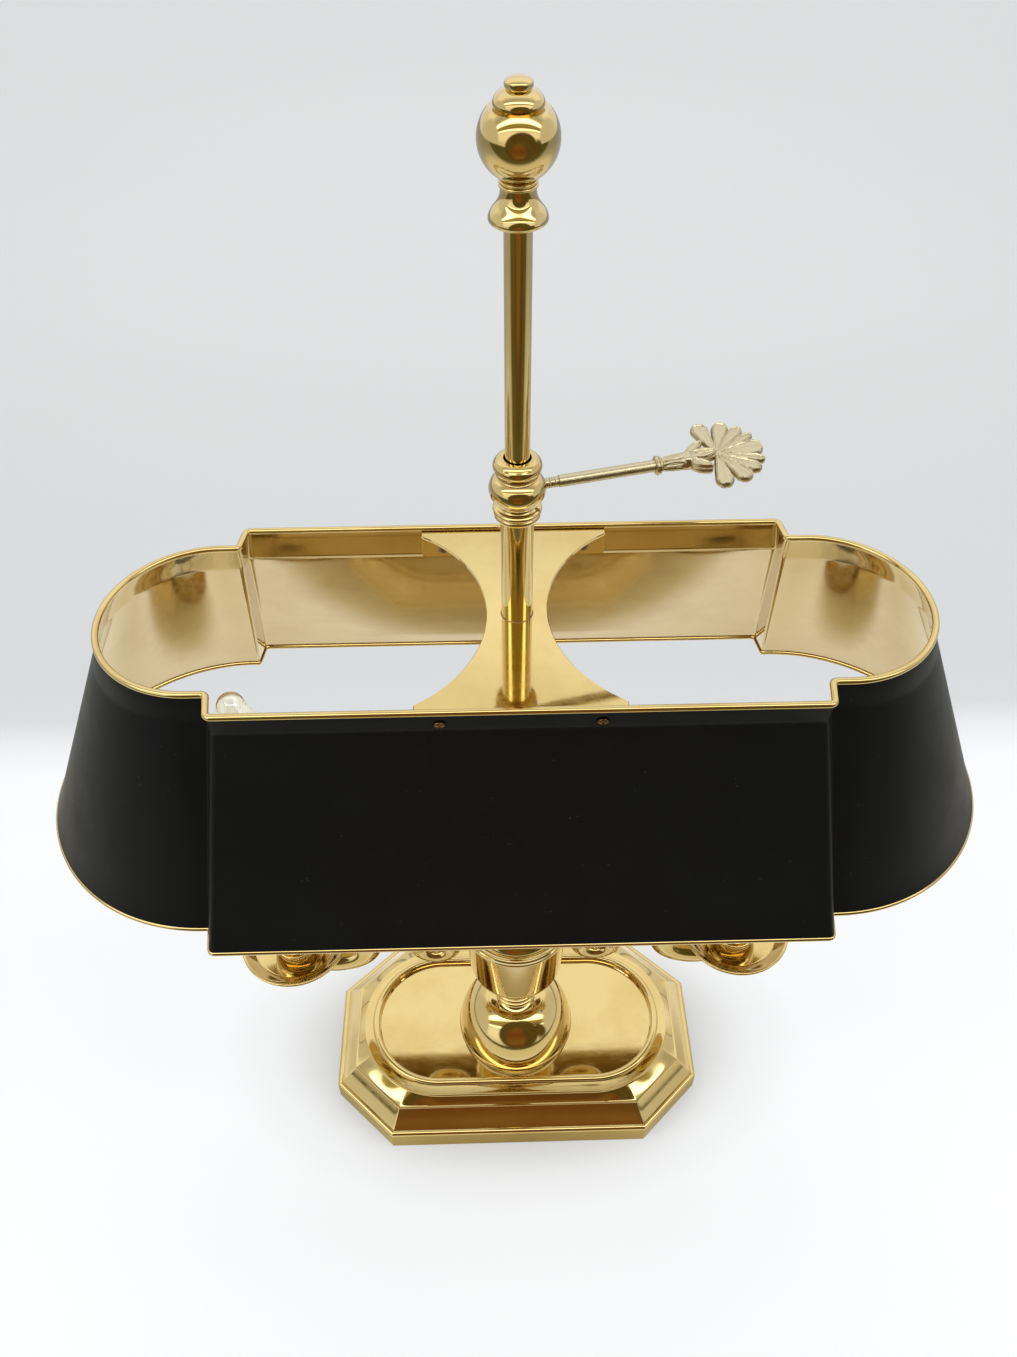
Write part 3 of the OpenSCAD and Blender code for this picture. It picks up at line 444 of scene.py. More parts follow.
def moulded(name, colour, rough, grain_mm):
    """Moulded or rolled non-metal: an even colour with a fine grain."""
    material, tree, where = new_material(name)
    grain = add(tree, "ShaderNodeTexNoise", {"Vector": where, "Scale": 1000.0 / grain_mm, "Detail": 4.0})
    cloud = add(tree, "ShaderNodeTexNoise", {"Vector": where, "Scale": 50.0, "Detail": 4.0})
    pale = tuple(min(1.0, c * 1.25 + 0.01) for c in hex_colour(colour)[:3]) + (1.0,)
    tone = add(tree, "ShaderNodeMix", {"Factor": cloud, "A": colour, "B": pale}, data_type="RGBA")
    return shaded(material, tone, (grain, 0.0, 1.0, rough, rough + 0.15), (grain, 0.3, 0.05), {})


def bulb_glass(name):
    """Blown soda-lime glass, clear, with faint waves."""
    material, tree, where = new_material(name)
    waves = add(tree, "ShaderNodeTexNoise", {"Vector": where, "Scale": 45.0, "Detail": 2.0})
    return shaded(material, "#fcfdfc", (waves, 0.0, 1.0, 0.0, 0.03), (waves, 0.2, 0.1),
                  {"Transmission Weight": 1.0, "IOR": 1.5})


# ---------- Geometry Nodes ----------

def node_group(name, inputs):
    """Geometry group with named inputs; gives the tree and its group input."""
    tree = bpy.data.node_groups.new(name, "GeometryNodeTree")
    for label, kind, default in inputs:
        socket = tree.interface.new_socket(label, in_out="INPUT", socket_type=kind)
        if default is not None:
            socket.default_value = default
    tree.interface.new_socket("Geometry", in_out="OUTPUT", socket_type="NodeSocketGeometry")
    return tree, add(tree, "NodeGroupInput")


def finish_group(tree, shape, material):
    """Ends a group in Realize Instances and Set Material."""
    real = add(tree, "GeometryNodeRealizeInstances", {"Geometry": shape})
    smooth = add(tree, "GeometryNodeSetShadeSmooth", {"Geometry": real, "Shade Smooth": True})
    done = add(tree, "GeometryNodeSetMaterial", {"Geometry": smooth, "Material": material})
    add(tree, "NodeGroupOutput", {"Geometry": done})
    return tree


def bead_group():
    """Round bead that follows a closed line."""
    tree, given = node_group("bead_along_line", [
        ("Line", "NodeSocketGeometry", None), ("Bead radius", "NodeSocketFloat", 0.001),
        ("Sides", "NodeSocketInt", 20), ("Finish", "NodeSocketMaterial", None)])
    section = add(tree, "GeometryNodeCurvePrimitiveCircle",
                  {"Resolution": given.outputs["Sides"], "Radius": given.outputs["Bead radius"]})
    swept = add(tree, "GeometryNodeCurveToMesh",
                {"Curve": given.outputs["Line"], "Profile Curve": section})
    return finish_group(tree, swept, given.outputs["Finish"])


def thread_group():
    """Thread that winds round a straight shank."""
    tree, given = node_group("thread_round_shank", [
        ("Shank", "NodeSocketGeometry", None), ("Radius", "NodeSocketFloat", 0.0018),
        ("Length", "NodeSocketFloat", 0.013), ("Pitch", "NodeSocketFloat", 0.0007),
        ("Ridge", "NodeSocketFloat", 0.0003), ("Finish", "NodeSocketMaterial", None)])
    turns = add(tree, "ShaderNodeMath", {0: given.outputs["Length"], 1: given.outputs["Pitch"]},
                operation="DIVIDE")
    helix = add(tree, "GeometryNodeCurveSpiral", {
        "Resolution": 28, "Rotations": turns, "Start Radius": given.outputs["Radius"],
        "End Radius": given.outputs["Radius"], "Height": given.outputs["Length"]})
    section = add(tree, "GeometryNodeCurvePrimitiveCircle", {"Resolution": 5, "Radius": given.outputs["Ridge"]})
    swept = add(tree, "GeometryNodeCurveToMesh", {"Curve": helix, "Profile Curve": section, "Fill Caps": True})
    both = add(tree, "GeometryNodeJoinGeometry", {"Geometry": swept})
    tree.links.new(given.outputs["Shank"], both.inputs["Geometry"])
    return finish_group(tree, both, given.outputs["Finish"])


def copies_group():
    """Copies of one piece on points, each turned and scaled by the point's own attributes."""
    tree, given = node_group("copies_on_points", [
        ("Points", "NodeSocketGeometry", None), ("Piece", "NodeSocketObject", None),
        ("Scale", "NodeSocketFloat", 1.0), ("Finish", "NodeSocketMaterial", None)])
    turn = add(tree, "GeometryNodeInputNamedAttribute", {"Name": "turn"}, data_type="FLOAT_VECTOR")
    size = add(tree, "GeometryNodeInputNamedAttribute", {"Name": "size"}, data_type="FLOAT_VECTOR")
    scaled = add(tree, "ShaderNodeVectorMath", {0: size, "Scale": given.outputs["Scale"]}, operation="SCALE")
    source = add(tree, "GeometryNodeObjectInfo", {"Object": given.outputs["Piece"]})
    made = add(tree, "GeometryNodeInstanceOnPoints", {
        "Points": given.outputs["Points"], "Instance": source.outputs["Geometry"],
        "Rotation": turn, "Scale": scaled})
    return finish_group(tree, made, given.outputs["Finish"])


GROUPS = {}


def group_mesh(name, source, group, values):
    """Runs a group on a source object and keeps the result as a plain object at the origin."""
    if group not in GROUPS:
        GROUPS[group] = {"bead": bead_group, "thread": thread_group, "copies": copies_group}[group]()
    tree = GROUPS[group]
    modifier = source.modifiers.new("shape", "NODES")
    modifier.node_group = tree
    sockets = {s.name: s.identifier for s in tree.interface.items_tree if s.in_out == "INPUT"}
    for label, value in values.items():
        modifier[sockets[label]] = value
    bpy.context.view_layer.update()
    seen = source.evaluated_get(bpy.context.evaluated_depsgraph_get())
    data = bpy.data.meshes.new_from_object(seen)
    source.modifiers.remove(modifier)
    bpy.data.objects.remove(source)
    if not len(data.polygons):
        raise RuntimeError(f"{name}: the group made no faces")
    data.name = name
    return cleaned(name, data, 40.0)


def closed_line(name, points, z):
    """Closed poly curve at one height, from plan points in millimetres."""
    data = bpy.data.curves.new(name, "CURVE")
    data.dimensions = "3D"
    data.twist_mode = "Z_UP"
    spline = data.splines.new("POLY")
    spline.points.add(len(points) - 1)
    for p, q in zip(spline.points, points):
        p.co = (q[0] * MM, q[1] * MM, z * MM, 1.0)
    spline.use_cyclic_u = True
    return linked(name, data)


def point_set(name, places, turns, sizes):
    """Mesh of loose points that carry the turn and size of each copy."""
    data = bpy.data.meshes.new(name)
    data.from_pydata([tuple(c * MM for c in p) for p in places], [], [])
    for label, values in (("turn", turns), ("size", sizes)):
        data.attributes.new(label, "FLOAT_VECTOR", "POINT").data.foreach_set(
            "vector", np.array(values, np.float32).ravel())
    return linked(name, data)


# ---------- Base ----------

def octagon(inset):
    """Corners of the plinth's octagon, moved in by an inset."""
    cx, cy = CORNER
    nx, ny = cy / math.hypot(cx, cy), cx / math.hypot(cx, cy)
    l, d = HALF_L - inset, HALF_D - inset
    c = (HALF_L - cx) * nx + HALF_D * ny - inset
    x, y = (c - d * ny) / nx, (c - l * nx) / ny
    return [(-x, -d), (x, -d), (l, -y), (l, y), (x, d), (-x, d), (-l, y), (-l, -y)]


def octagon_ring(inset):
    """Octagon line with small rounded corners, and points along each side."""
    corners = soften(octagon(inset), 1.1, 6)
    out = []
    for k, corner in enumerate(corners):
        after = corners[(k + 1) % 8][0]
        out += list(corner)
        count = 44 if k in (0, 4) else 20
        ts = np.arange(1, count) / count
        out += [corner[-1] + t * (after - corner[-1]) for t in ts]
    return np.array(out)


def on_stadium(points, r):
    """Points of the stadium of radius r that face the given points."""
    q = np.stack([np.clip(points[:, 0], -TOP_CX, TOP_CX), np.zeros(len(points))], 1)
    v = points - q
    return q + r * v / np.linalg.norm(v, axis=1)[:, None]


def base_mesh():
    """Plinth, sloped band, moulding up to the oblong top, rim bead and well."""
    quirk = PLINTH_ROUND + 0.4
    ledge_z = PLINTH_H + LEDGE_H
    slope = LEDGE_IN - 0.9 - quirk - 0.3
    guide = octagon_ring(LEDGE_IN)
    top_r = HALF_D - MOULDING_W
    rings = [(octagon_ring(0.35), 0.0), (octagon_ring(0.0), 0.35)]
    for a in np.linspace(0, 90, 9):
        s, c = math.sin(math.radians(a)), math.cos(math.radians(a))
        rings.append((octagon_ring(PLINTH_ROUND * (1 - c)), PLINTH_H - PLINTH_ROUND * (1 - s)))
    rings.append((octagon_ring(quirk), PLINTH_H))
    for t in np.linspace(0, 1, 10):
        rings.append((octagon_ring(quirk + 0.3 + slope * t), PLINTH_H + 0.3 + (LEDGE_H - 1.5) * t ** 1.1))
    rings.append((octagon_ring(LEDGE_IN - 0.9), ledge_z - 0.25))
    rings.append((octagon_ring(LEDGE_IN - 0.65), ledge_z))
    rings.append((guide, ledge_z + 0.1))
    for t in np.linspace(0.04, 0.97, 22):
        ring = (1 - t) * guide + t * on_stadium(guide, top_r)
        rings.append((ring, ledge_z + 0.1 + (TOP_Z - ledge_z - 2.4) * t ** 1.08))
    for d, z in ((0.0, TOP_Z - 2.1), (0.0, TOP_Z - 1.2), (0.0, TOP_Z - 0.35), (0.12, TOP_Z - 0.1),
                 (0.4, TOP_Z)):
        rings.append((on_stadium(guide, top_r - d), z))
    for a in np.linspace(0, 180, 15):
        c, s = math.cos(math.radians(a)), math.sin(math.radians(a))
        rings.append((on_stadium(guide, WELL_LINE + WELL_BEAD * c), TOP_Z + 0.3 + WELL_BEAD * s))
    rings.append((on_stadium(guide, WELL_LINE - WELL_BEAD), WELL_Z + 0.5))
    rings.append((on_stadium(guide, WELL_LINE - WELL_BEAD - 0.5), WELL_Z))
    rings.append((on_stadium(guide, 6.0), WELL_Z))
    return loft([[(p[0], p[1], z) for p in ring] for ring, z in rings])


# ---------- Column ----------

def foot_profile():
    """Bored profile of the dome and its neck."""
    h, r, waist = 35.0, 32.5, 9.0
    dome = arc(0, 2.2, r, h * 0.94, 0, 60, 48)
    x, y = dome[-1]
    return ([(5.2, 0), (r + 0.3, 0), (r + 0.6, 0.3), (r + 0.6, 0.9), (r + 0.3, 1.2)] + dome
            + arc(x, h, x - waist, h - y, 270, 180, 24)[1:] + [(5.2, h)])


def reeds_profile():
    """Bored profile of three reeds and the neck over them."""
    reed, neck, r, top = 3.6, 8.6, 12.0, 30.8
    out = [(5.2, 0), (r - 3, 0)]
    for k in range(3):
        out += arc(r - reed / 2 - 0.3 * k, reed * (k + 0.5), reed / 2, reed / 2, -80, 80, 16)
    return (out + arc(neck + 2, 3 * reed + 3.4, 2, 3, 250, 180, 10) + [(neck, top - 5)]
            + arc(neck + 4, top - 4.5, 4, 4.5, 180, 90, 12) + [(5.2, top)])


def cup_profile():
    """Bored profile of the cup the arms leave, with its lip."""
    low, high, wall = 25.0, 27.0, CUP_H - LIP_H
    return ([(5.2, 0), (15, 0)] + arc(low - 6, 9, 6, 8.5, -80, 0, 24)
            + [(high, wall)] + arc(high + 0.4, wall + 1.2, 1.2, 1.2, -90, 90, 14)
            + [(high + 1.6, wall + 3.2), (high + 1.6, CUP_H - 0.3), (high + 1.3, CUP_H), (5.2, CUP_H)])


def cap_profile():
    """Bored profile of the low dome that closes the cup."""
    r, h = 27.0, SOCKET_Z - CAP_Z
    return ([(5.2, 0), (r + 1, 0), (r + 1.2, 0.3), (r + 1.2, 1.3), (r + 0.9, 1.5)]
            + arc(9, 1.5, r - 10, h - 3.5, 0, 90, 40) + [(9, h), (5.2, h)])


def socket_profile():
    """Bored profile of the turned socket that holds the rod."""
    h = SOCKET_TOP - SOCKET_Z
    return ([(5.2, 0), (12, 0)] + arc(11, 2, 2, 2, -90, 90, 16) + arc(11, h * 0.2, 3.5, 3.2, 270, 180, 12)
            + arc(7, h * 0.42, 5, h * 0.2, -70, 70, 24) + arc(8.6, h * 0.66, 1.6, 1.4, -90, 90, 14)
            + [(7, h * 0.72), (6.2, h * 0.9)] + arc(6, h - 1.6, 1.6, 1.6, -60, 90, 14) + [(ROD_R + 0.1, h)])


# ---------- Arms and candles ----------

def arm_mesh():
    """Arm from the cup, round its two low bends, up to the drip pan."""
    z = CUP_Z + CUP_H - LIP_H - 7.5
    end_z = PAN_FLOOR - PAN_T - 1.4
    leg, small, hump = 27.0 + 6, 10.0, 12.5
    hump_x = leg + 2 * small + hump
    last = hump_x + hump
    big = (CANDLE_X - last) / 2
    line = ([(25.6, z)] + arc(leg - 5, z - 5, 5, 5, 90, 0, 14)
            + arc(leg + small, z - 16, small, small, 180, 360, 40)
            + arc(hump_x, z - 5, hump, hump, 180, 0, 44)
            + arc(last + big, end_z + 0.6, big, 13.0, 180, 350, 60)
            + [(CANDLE_X, end_z - 0.6), (CANDLE_X, end_z)])
    p = np.array(line)
    far = np.concatenate([[0], np.cumsum(np.linalg.norm(np.diff(p, axis=0), axis=1))])
    even = np.linspace(0, far[-1], 220)
    x, y = np.interp(even, far, p[:, 0]), np.interp(even, far, p[:, 1])
    kernel = np.ones(7) / 7
    for _ in range(2):
        x[3:-3], y[3:-3] = np.convolve(x, kernel, "valid"), np.convolve(y, kernel, "valid")
    t = np.linspace(0, 1, len(x))
    rise = np.clip((t - 0.4) / 0.45, 0, 1)
    width = 4.2 + 3.4 * (1 - np.cos(rise * math.pi)) / 2 - np.clip(t - 0.85, 0, 1) * 6
    bar = tube([(a, 0, b) for a, b in zip(x, y)], width, 40)
    boss = lathe([(0, 0), (5.6, 0), (6.2, 0.5), (6.2, 3.2)] + arc(5.4, 3.2, 0.8, 0.8, 0, 90, 6)
                 + [(4.0, 4.0), (0, 4.0)],
                 steps=64)
    boss = placed(boss, Matrix.Translation((25.4, 0, z)) @ Matrix.Rotation(math.pi / 2, 4, "Y"))
    seat = lathe([(0, end_z - 1.8), (7.9, end_z - 1.8), (8.4, end_z - 1.4), (8.4, end_z - 0.3), (8.1, end_z),
                  (0, end_z)],
                 (CANDLE_X, 0), 72)
    return joined(bar, boss, seat)


def mirrored(mesh):
    """Mesh on the other side of the rod."""
    return [(-p[0], p[1], p[2]) for p in mesh[0]], mesh[1]


def pan_profile():
    """Profile of a drip pan, closed on itself."""
    flat, rim, t = PAN_R * 0.7, PAN_DEPTH, PAN_T
    inner = [(2.6, 0), (flat, 0)] + arc(flat, 1.6, 2.5, 1.6, -90, -25, 16)[1:]
    curl = arc(PAN_R - 0.9, rim - 0.9, 0.9, 0.9, 160, -90, 20)
    under = arc(flat, 1.6 - t, 2.5 + t, 1.6, -25, -90, 16)
    return [(r, PAN_FLOOR + z) for r, z in inner + curl + under + [(9, -t), (9, -t - 1.4), (2.6, -t - 1.4)]]


def candle_cup_profile():
    """Profile of a candle cup, from its axis to its lip."""
    h, r = CUP_TOP - PAN_FLOOR, SLEEVE_R
    out = ([(0, 0.4), (2.6, 0.4), (2.6, 0), (10.5, 0)] + arc(9.5, 1.2, 1.2, 1.2, -60, 90, 14)
           + arc(9.5, 5.4, 2.6, 3, 270, 180, 12) + arc(r - 5.6, 13, 7.4, 6.6, -70, -10, 18)
           + [(r + 2, h - 1.6)] + arc(r + 1.6, h - 0.8, 1, 0.8, -90, 90, 14)
           + [(r + 0.1, h), (r + 0.1, 14.0), (0, 14.0)])
    return [(a, PAN_FLOOR + b) for a, b in out]


def sleeve_profile():
    """Profile of a candle sleeve, closed on itself."""
    r, t = SLEEVE_R, 1.0
    return [(r - t, SLEEVE_Z), (r, SLEEVE_Z), (r, SLEEVE_TOP - 0.3), (r - 0.3, SLEEVE_TOP),
            (r - t + 0.2, SLEEVE_TOP), (r - t, SLEEVE_TOP - 0.2)]


def bulb_profile(length):
    """Clear torpedo bulb: the outer wall and the inner wall, as one shell."""
    r, foot = span("bulb_right")[1][1], BULB_CAP_R
    outer = ([(foot, 0)] + arc(r - 11, length * 0.34, 11, length * 0.34 - 1, -75, 0, 40)
             + cubic([(r, length * 0.34), (r, length * 0.62), (8.2, length * 0.8), (6.1, length - 6)], 44)
             + arc(0, length - 6.2, 6.2, 6.2, 5, 90, 28))
    p = np.array(outer)
    step = np.gradient(p, axis=0)
    n = np.stack([step[:, 1], -step[:, 0]], 1) / np.linalg.norm(step, axis=1)[:, None]
    inner = p - 0.6 * n
    inner[:, 0] = np.maximum(inner[:, 0], 0)
    inner[-1, 0] = 0
    return [(a, SLEEVE_TOP + b) for a, b in outer], [(a, SLEEVE_TOP + b) for a, b in inner]


def bulb_mesh(side, length):
    """Glass shell of a bulb, closed at the foot."""
    outer, inner = bulb_profile(length)
    return lathe(outer + inner[::-1], (side * CANDLE_X, 0), 96, ring=True)


def filament_mesh(side, length):
    """Glass stem, two lead wires and a looped filament inside a bulb."""
    cx, z = side * CANDLE_X, SLEEVE_TOP
    stem = lathe([(0, z + 0.2), (4.2, z + 0.2), (3.2, z + 6), (1.6, z + 12), (1.3, z + 18), (0, z + 19)],
                 (cx, 0), 32)
    wires = [tube([(cx + s * 1.0, 0, z + 16), (cx + s * 1.8, 0, z + 22), (cx + s * 4.4, 0, z + length * 0.5)],
                  [0.3] * 3, 8) for s in (-1, 1)]
    turns = np.linspace(0, 1, 60)
    loop = [(cx + 4.4 * math.cos(math.pi * (1 - t)), 0.35 * math.sin(t * 80),
             z + length * 0.5 + 6 * math.sin(math.pi * t))
            for t in turns]
    return joined(stem, *wires, tube(loop, [0.22] * len(loop), 8))


# ---------- Rod and finial ----------

def finial_profile():
    """Bell foot, two fine rings, the ball, a domed tier and a button."""
    ball, bell, bell_h, neck = 11.35, 8.6, 11.7, 5.1
    ball_z = bell_h + ball * 0.943
    tier = ball_z + ball * 0.68
    out = ([(0, 0), (bell - 1.2, 0)] + arc(bell - 1.2, 1.3, 1.2, 1.3, -80, 20, 16)
           + cubic([(bell - 0.1, 1.9), (bell - 0.9, 4.8), (neck, 5.2), (neck, bell_h - 2.2)], 28, True)
           + arc(neck - 0.1, bell_h - 1.4, 0.6, 0.5, -80, 90, 10)
           + arc(neck - 0.2, bell_h - 0.3, 0.6, 0.5, -80, 90, 10)
           + arc(0, ball_z, ball, ball, -58, 42, 72) + [(6.4, tier)] + arc(3, tier + 0.6, 4, 3.7, 0, 75, 20)
           + [(3.5, tier + 4.4), (3.75, tier + 4.7), (3.85, tier + 5.0)]
           + arc(0, tier + 5.8, 3.85, 1.6, 0, 90, 18))
    return [(r, FINIAL_Z + z) for r, z in out]


# ---------- Shade ----------

def shade_line(w, d, r, cx):
    """Plan line of the shade at one level, with small rounded corners."""
    lean = 1.6
    right = [(cx + r * math.cos(a), r * math.sin(a)) for a in np.radians(np.linspace(-90, 90, 97))]
    left = [(-x, -y) for x, y in right]
    corners = (right + [(w + lean, r), (w, d), (-w, d), (-w - lean, r)] + left
               + [(-w - lean, -r), (-w, -d), (w, -d), (w + lean, -r)])
    radii = [0] * 97 + [2.0, 2.6, 2.6, 2.0] + [0] * 97 + [2.0, 2.6, 2.6, 2.0]
    return np.array([p for corner in soften(corners, radii, 7) for p in corner])


RIM_LINE = shade_line(109.0, 51.0, 40.0, 117.5)
CREASE_LINE = shade_line(109.6, 48.2, 41.9, 119.2)
LOW_LINE = shade_line(121.5, 84.8, 73.7, 125.5)


def shade_mesh():
    """Sheet of the shade, and the finish of each face: paint outside, brass inside."""
    levels = [(LOW_LINE, LOW_Z + 0.9)]
    for t in np.linspace(0.06, 0.94, 12):
        levels.append(((1 - t) * LOW_LINE + t * CREASE_LINE, LOW_Z + t * (CREASE_Z - LOW_Z)))
    a, b = 0.985, 0.1
    p0 = (1 - a) * LOW_LINE + a * CREASE_LINE, LOW_Z + a * (CREASE_Z - LOW_Z)
    p2 = (1 - b) * CREASE_LINE + b * RIM_LINE, CREASE_Z + b * (SHADE_Z - CREASE_Z)
    for t in np.linspace(0, 1, 7):
        k = ((1 - t) ** 2, 2 * t * (1 - t), t ** 2)
        levels.append((k[0] * p0[0] + k[1] * CREASE_LINE + k[2] * p2[0],
                       k[0] * p0[1] + k[1] * CREASE_Z + k[2] * p2[1]))
    for t in (0.4, 0.7):
        levels.append(((1 - t) * CREASE_LINE + t * RIM_LINE, CREASE_Z + t * (SHADE_Z - CREASE_Z)))
    levels.append((RIM_LINE, SHADE_Z - 1.0))
    half = SHADE_T / 2
    rings = [[(p[0], p[1], z) for p in outset(line, half)] for line, z in levels]
    rings += [[(p[0], p[1], z) for p in outset(line, -half)] for line, z in levels[::-1]]
    verts, faces = loft(rings, loop=True)
    n, k = len(LOW_LINE), len(levels)
    pick = [0 if r < k - 1 else 1 for r in range(len(rings)) for _ in range(n)]
    return (verts, faces), pick


# ---------- Bridge, sleeve and collar ----------

BRIDGE_W, WAIST_W = 75.0, 23.0
LEAN_H = 11.7 - RIM_BEAD * math.cos(math.pi / 8)
LEAN = math.atan2(2.8, LEAN_H)


def panel_at(drop):
    """Distance from the rod to the middle of a panel's sheet, at a depth under the rim."""
    return 51.0 - 2.8 * (drop - RIM_BEAD * math.cos(math.pi / 8)) / LEAN_H


BRIDGE_REACH = panel_at(SHADE_Z - BRIDGE_Z) - SHADE_T / 2 - 0.2


def bridge_mesh():
    """Waisted plate whose two ends turn down against the shade's walls."""
    sagitta = (BRIDGE_W - WAIST_W) / 2
    reach = BRIDGE_REACH - 4
    radius = (reach ** 2 + sagitta ** 2) / (2 * sagitta)
    drop = 10.8
    edge = [(-BRIDGE_REACH + 0.3 + (drop - BRIDGE_T) * math.tan(LEAN), -drop)]
    edge += arc(-BRIDGE_REACH + 1.8, -1.5, 1.5, 1.5, 180, 90, 10)
    flat = [(y, 0.0) for y in np.linspace(-BRIDGE_REACH + 2.2, BRIDGE_REACH - 2.2, 121)]
    path = np.array(edge + flat + [(-y, z) for y, z in edge[::-1]])
    step = np.gradient(path, axis=0)
    normal = np.stack([-step[:, 1], step[:, 0]], 1) / np.linalg.norm(step, axis=1)[:, None]
    rings = []
    for (y, z), n in zip(path, normal):
        w = BRIDGE_W / 2
        if abs(y) <= reach and z >= -0.2:
            w = WAIST_W / 2 + radius - math.sqrt(radius ** 2 - y ** 2)
        low = (y - n[0] * BRIDGE_T, z - n[1] * BRIDGE_T)
        e = 0.25
        rings.append([(-w + e, y, BRIDGE_Z + z), (w - e, y, BRIDGE_Z + z),
                      (w, y - n[0] * e, BRIDGE_Z + z - n[1] * e),
                      (w, low[0] + n[0] * e, BRIDGE_Z + low[1] + n[1] * e),
                      (w - e, low[0], BRIDGE_Z + low[1]), (-w + e, low[0], BRIDGE_Z + low[1]),
                      (-w, low[0] + n[0] * e, BRIDGE_Z + low[1] + n[1] * e),
                      (-w, y - n[0] * e, BRIDGE_Z + z - n[1] * e)])
    return loft(rings)


def collar_profile():
    """Two rings, the ball that takes the thumb screw, and a cushion-shaped ring round the rod."""
    h, r, ball = COLLAR_TOP - COLLAR_Z, COLLAR_R, KEY_Z - COLLAR_Z
    out = ([(TUBE_R + 0.1, 0), (r - 2.9, 0)] + arc(r - 2.7, 1.15, 0.95, 1.15, -80, 90, 14)
           + arc(r - 2.7, 3.45, 1.4, 1.15, -90, 85, 14) + arc(r - 2.1, ball * 0.484, 1.3, 1, 220, 140, 8)
           + arc(r - 5.6, ball, 5.6, ball * 0.513, -62, 58, 48) + arc(r - 2, h - 6.3, 0.8, 0.7, 235, 150, 10)
           + arc(r - 3.2, h - 3.2, 1.7, 2.3, -50, 50, 20)
           + cubic([(r - 2.11, h - 1.44), (r - 2.5, h - 0.8), (r - 3.2, h), (r - 4, h)], 10)
           + [(r - 4, h), (ROD_R + 0.6, h), (ROD_R + 0.1, h - 3), (ROD_R + 0.1, 4.1), (TUBE_R + 0.1, 4.1)])
    return [(a, COLLAR_Z + b) for a, b in out]


def screw_places(out_by=0.0):
    """Place and turn of each of the four shade screws, with Z along the screw, outwards."""
    drop = 7.3
    y, z = panel_at(drop), SHADE_Z - drop
    tilt = math.pi / 2 + LEAN
    places, turns = [], []
    for s in (0.0, math.pi):
        for x in (-28.7, 28.7):
            m = Matrix.Rotation(s, 4, "Z") @ Matrix.Translation((x, -y, z)) @ Matrix.Rotation(tilt, 4, "X")
            m = m @ Matrix.Translation((0, 0, out_by))
            places.append(tuple(m.translation))
            turns.append(tuple(m.to_euler("XYZ")))
    return places, turns


def screw_head_mesh():
    """Domed head with a driver slot, and its shank."""
    r = 2.25
    dome = ([(0, -6), (1.25, -6), (1.25, 0), (r - 0.1, 0), (r, 0.15), (r, 0.35)]
            + arc(0, 0.35, r, 0.95, 0, 90, 12))
    verts, faces = lathe(dome, steps=40)
    out = []
    for x, y, z in verts:
        depth = 0.45 * max(0.0, 1 - max(0.0, abs(x) - 0.18) / 0.14)
        out.append((x, y, z - depth if z > 0.3 and abs(y) < r * 0.98 else z))
    return out, faces


# ---------- Thumb screw ----------

def key_frame():
    """Matrix that puts the screw's axis on Z, with its tip at the rod, in millimetres."""
    return (Matrix.Translation((0, 0, KEY_Z)) @ Matrix.Rotation(math.radians(KEY_ANGLE), 4, "Z")
            @ Matrix.Rotation(math.pi / 2, 4, "Y") @ Matrix.Rotation(math.radians(KEY_ROLL), 4, "Z")
            @ Matrix.Translation((0, 0, KEY_START)))


THREAD_L, SHANK_L, STEM_L = 10.2, 34.6, 23.0
FERRULE_Z = THREAD_L + SHANK_L
FOCUS = FERRULE_Z + STEM_L
PETAL_L = 17.0
PETALS = [(0.0, 4.0), (24.5, 2.1), (42.7, 2.6), (65.5, 3.2), (96.8, 3.3)]


def petal_outline(t, half):
    """Half width of a petal at a share of its length: a slim root that swells to a round tip."""
    if t < 0.78:
        return 0.5 + (half - 0.5) * (t / 0.78) ** 0.8
    return half * math.sqrt(max(0.0, 1 - ((t - 0.78) / 0.22) ** 2)) + 0.02


def leaf_outline(t, half):
    """Half width of a leaf at a share of its length: widest before the middle, pointed at the tip."""
    return 0.35 + (half - 0.35) * math.sin(math.pi * min(1.0, 0.12 + 0.88 * t) ** 1.15) ** 0.8 + 0.02


def blade_mesh(length, half, outline, thick, rim, vein):
    """Flat blade along Z with a raised rim round a hollowed face on its -Y side, and a fine vein."""
    sides = 26
    rings = []
    for u in np.linspace(0.0, 1.0, 44):
        t = 1 - (1 - u) ** 1.5
        w = outline(t, half)
        across = [-math.cos(math.pi * k / sides) for k in range(sides + 1)]
        face, back = [], []
        for x in across:
            d = min(w * (1 - abs(x)), (1.0 - t) * length)
            edge = math.sqrt(min(1.0, d / 0.4 + 0.02))
            ridge = rim * math.exp(-((d - 0.55) / 0.34) ** 2)
            line = vein * math.exp(-(x * w / 0.2) ** 2) * min(1.0, d / 1.2)
            root = min(1.0, 0.45 + t * 3)
            face.append((x * w, -(thick + ridge + line) * edge * root, length * t))
            back.append((x * w, (thick + 0.35) * edge * root, length * t))
        rings.append(face + back[-2:0:-1])
    return loft(rings)


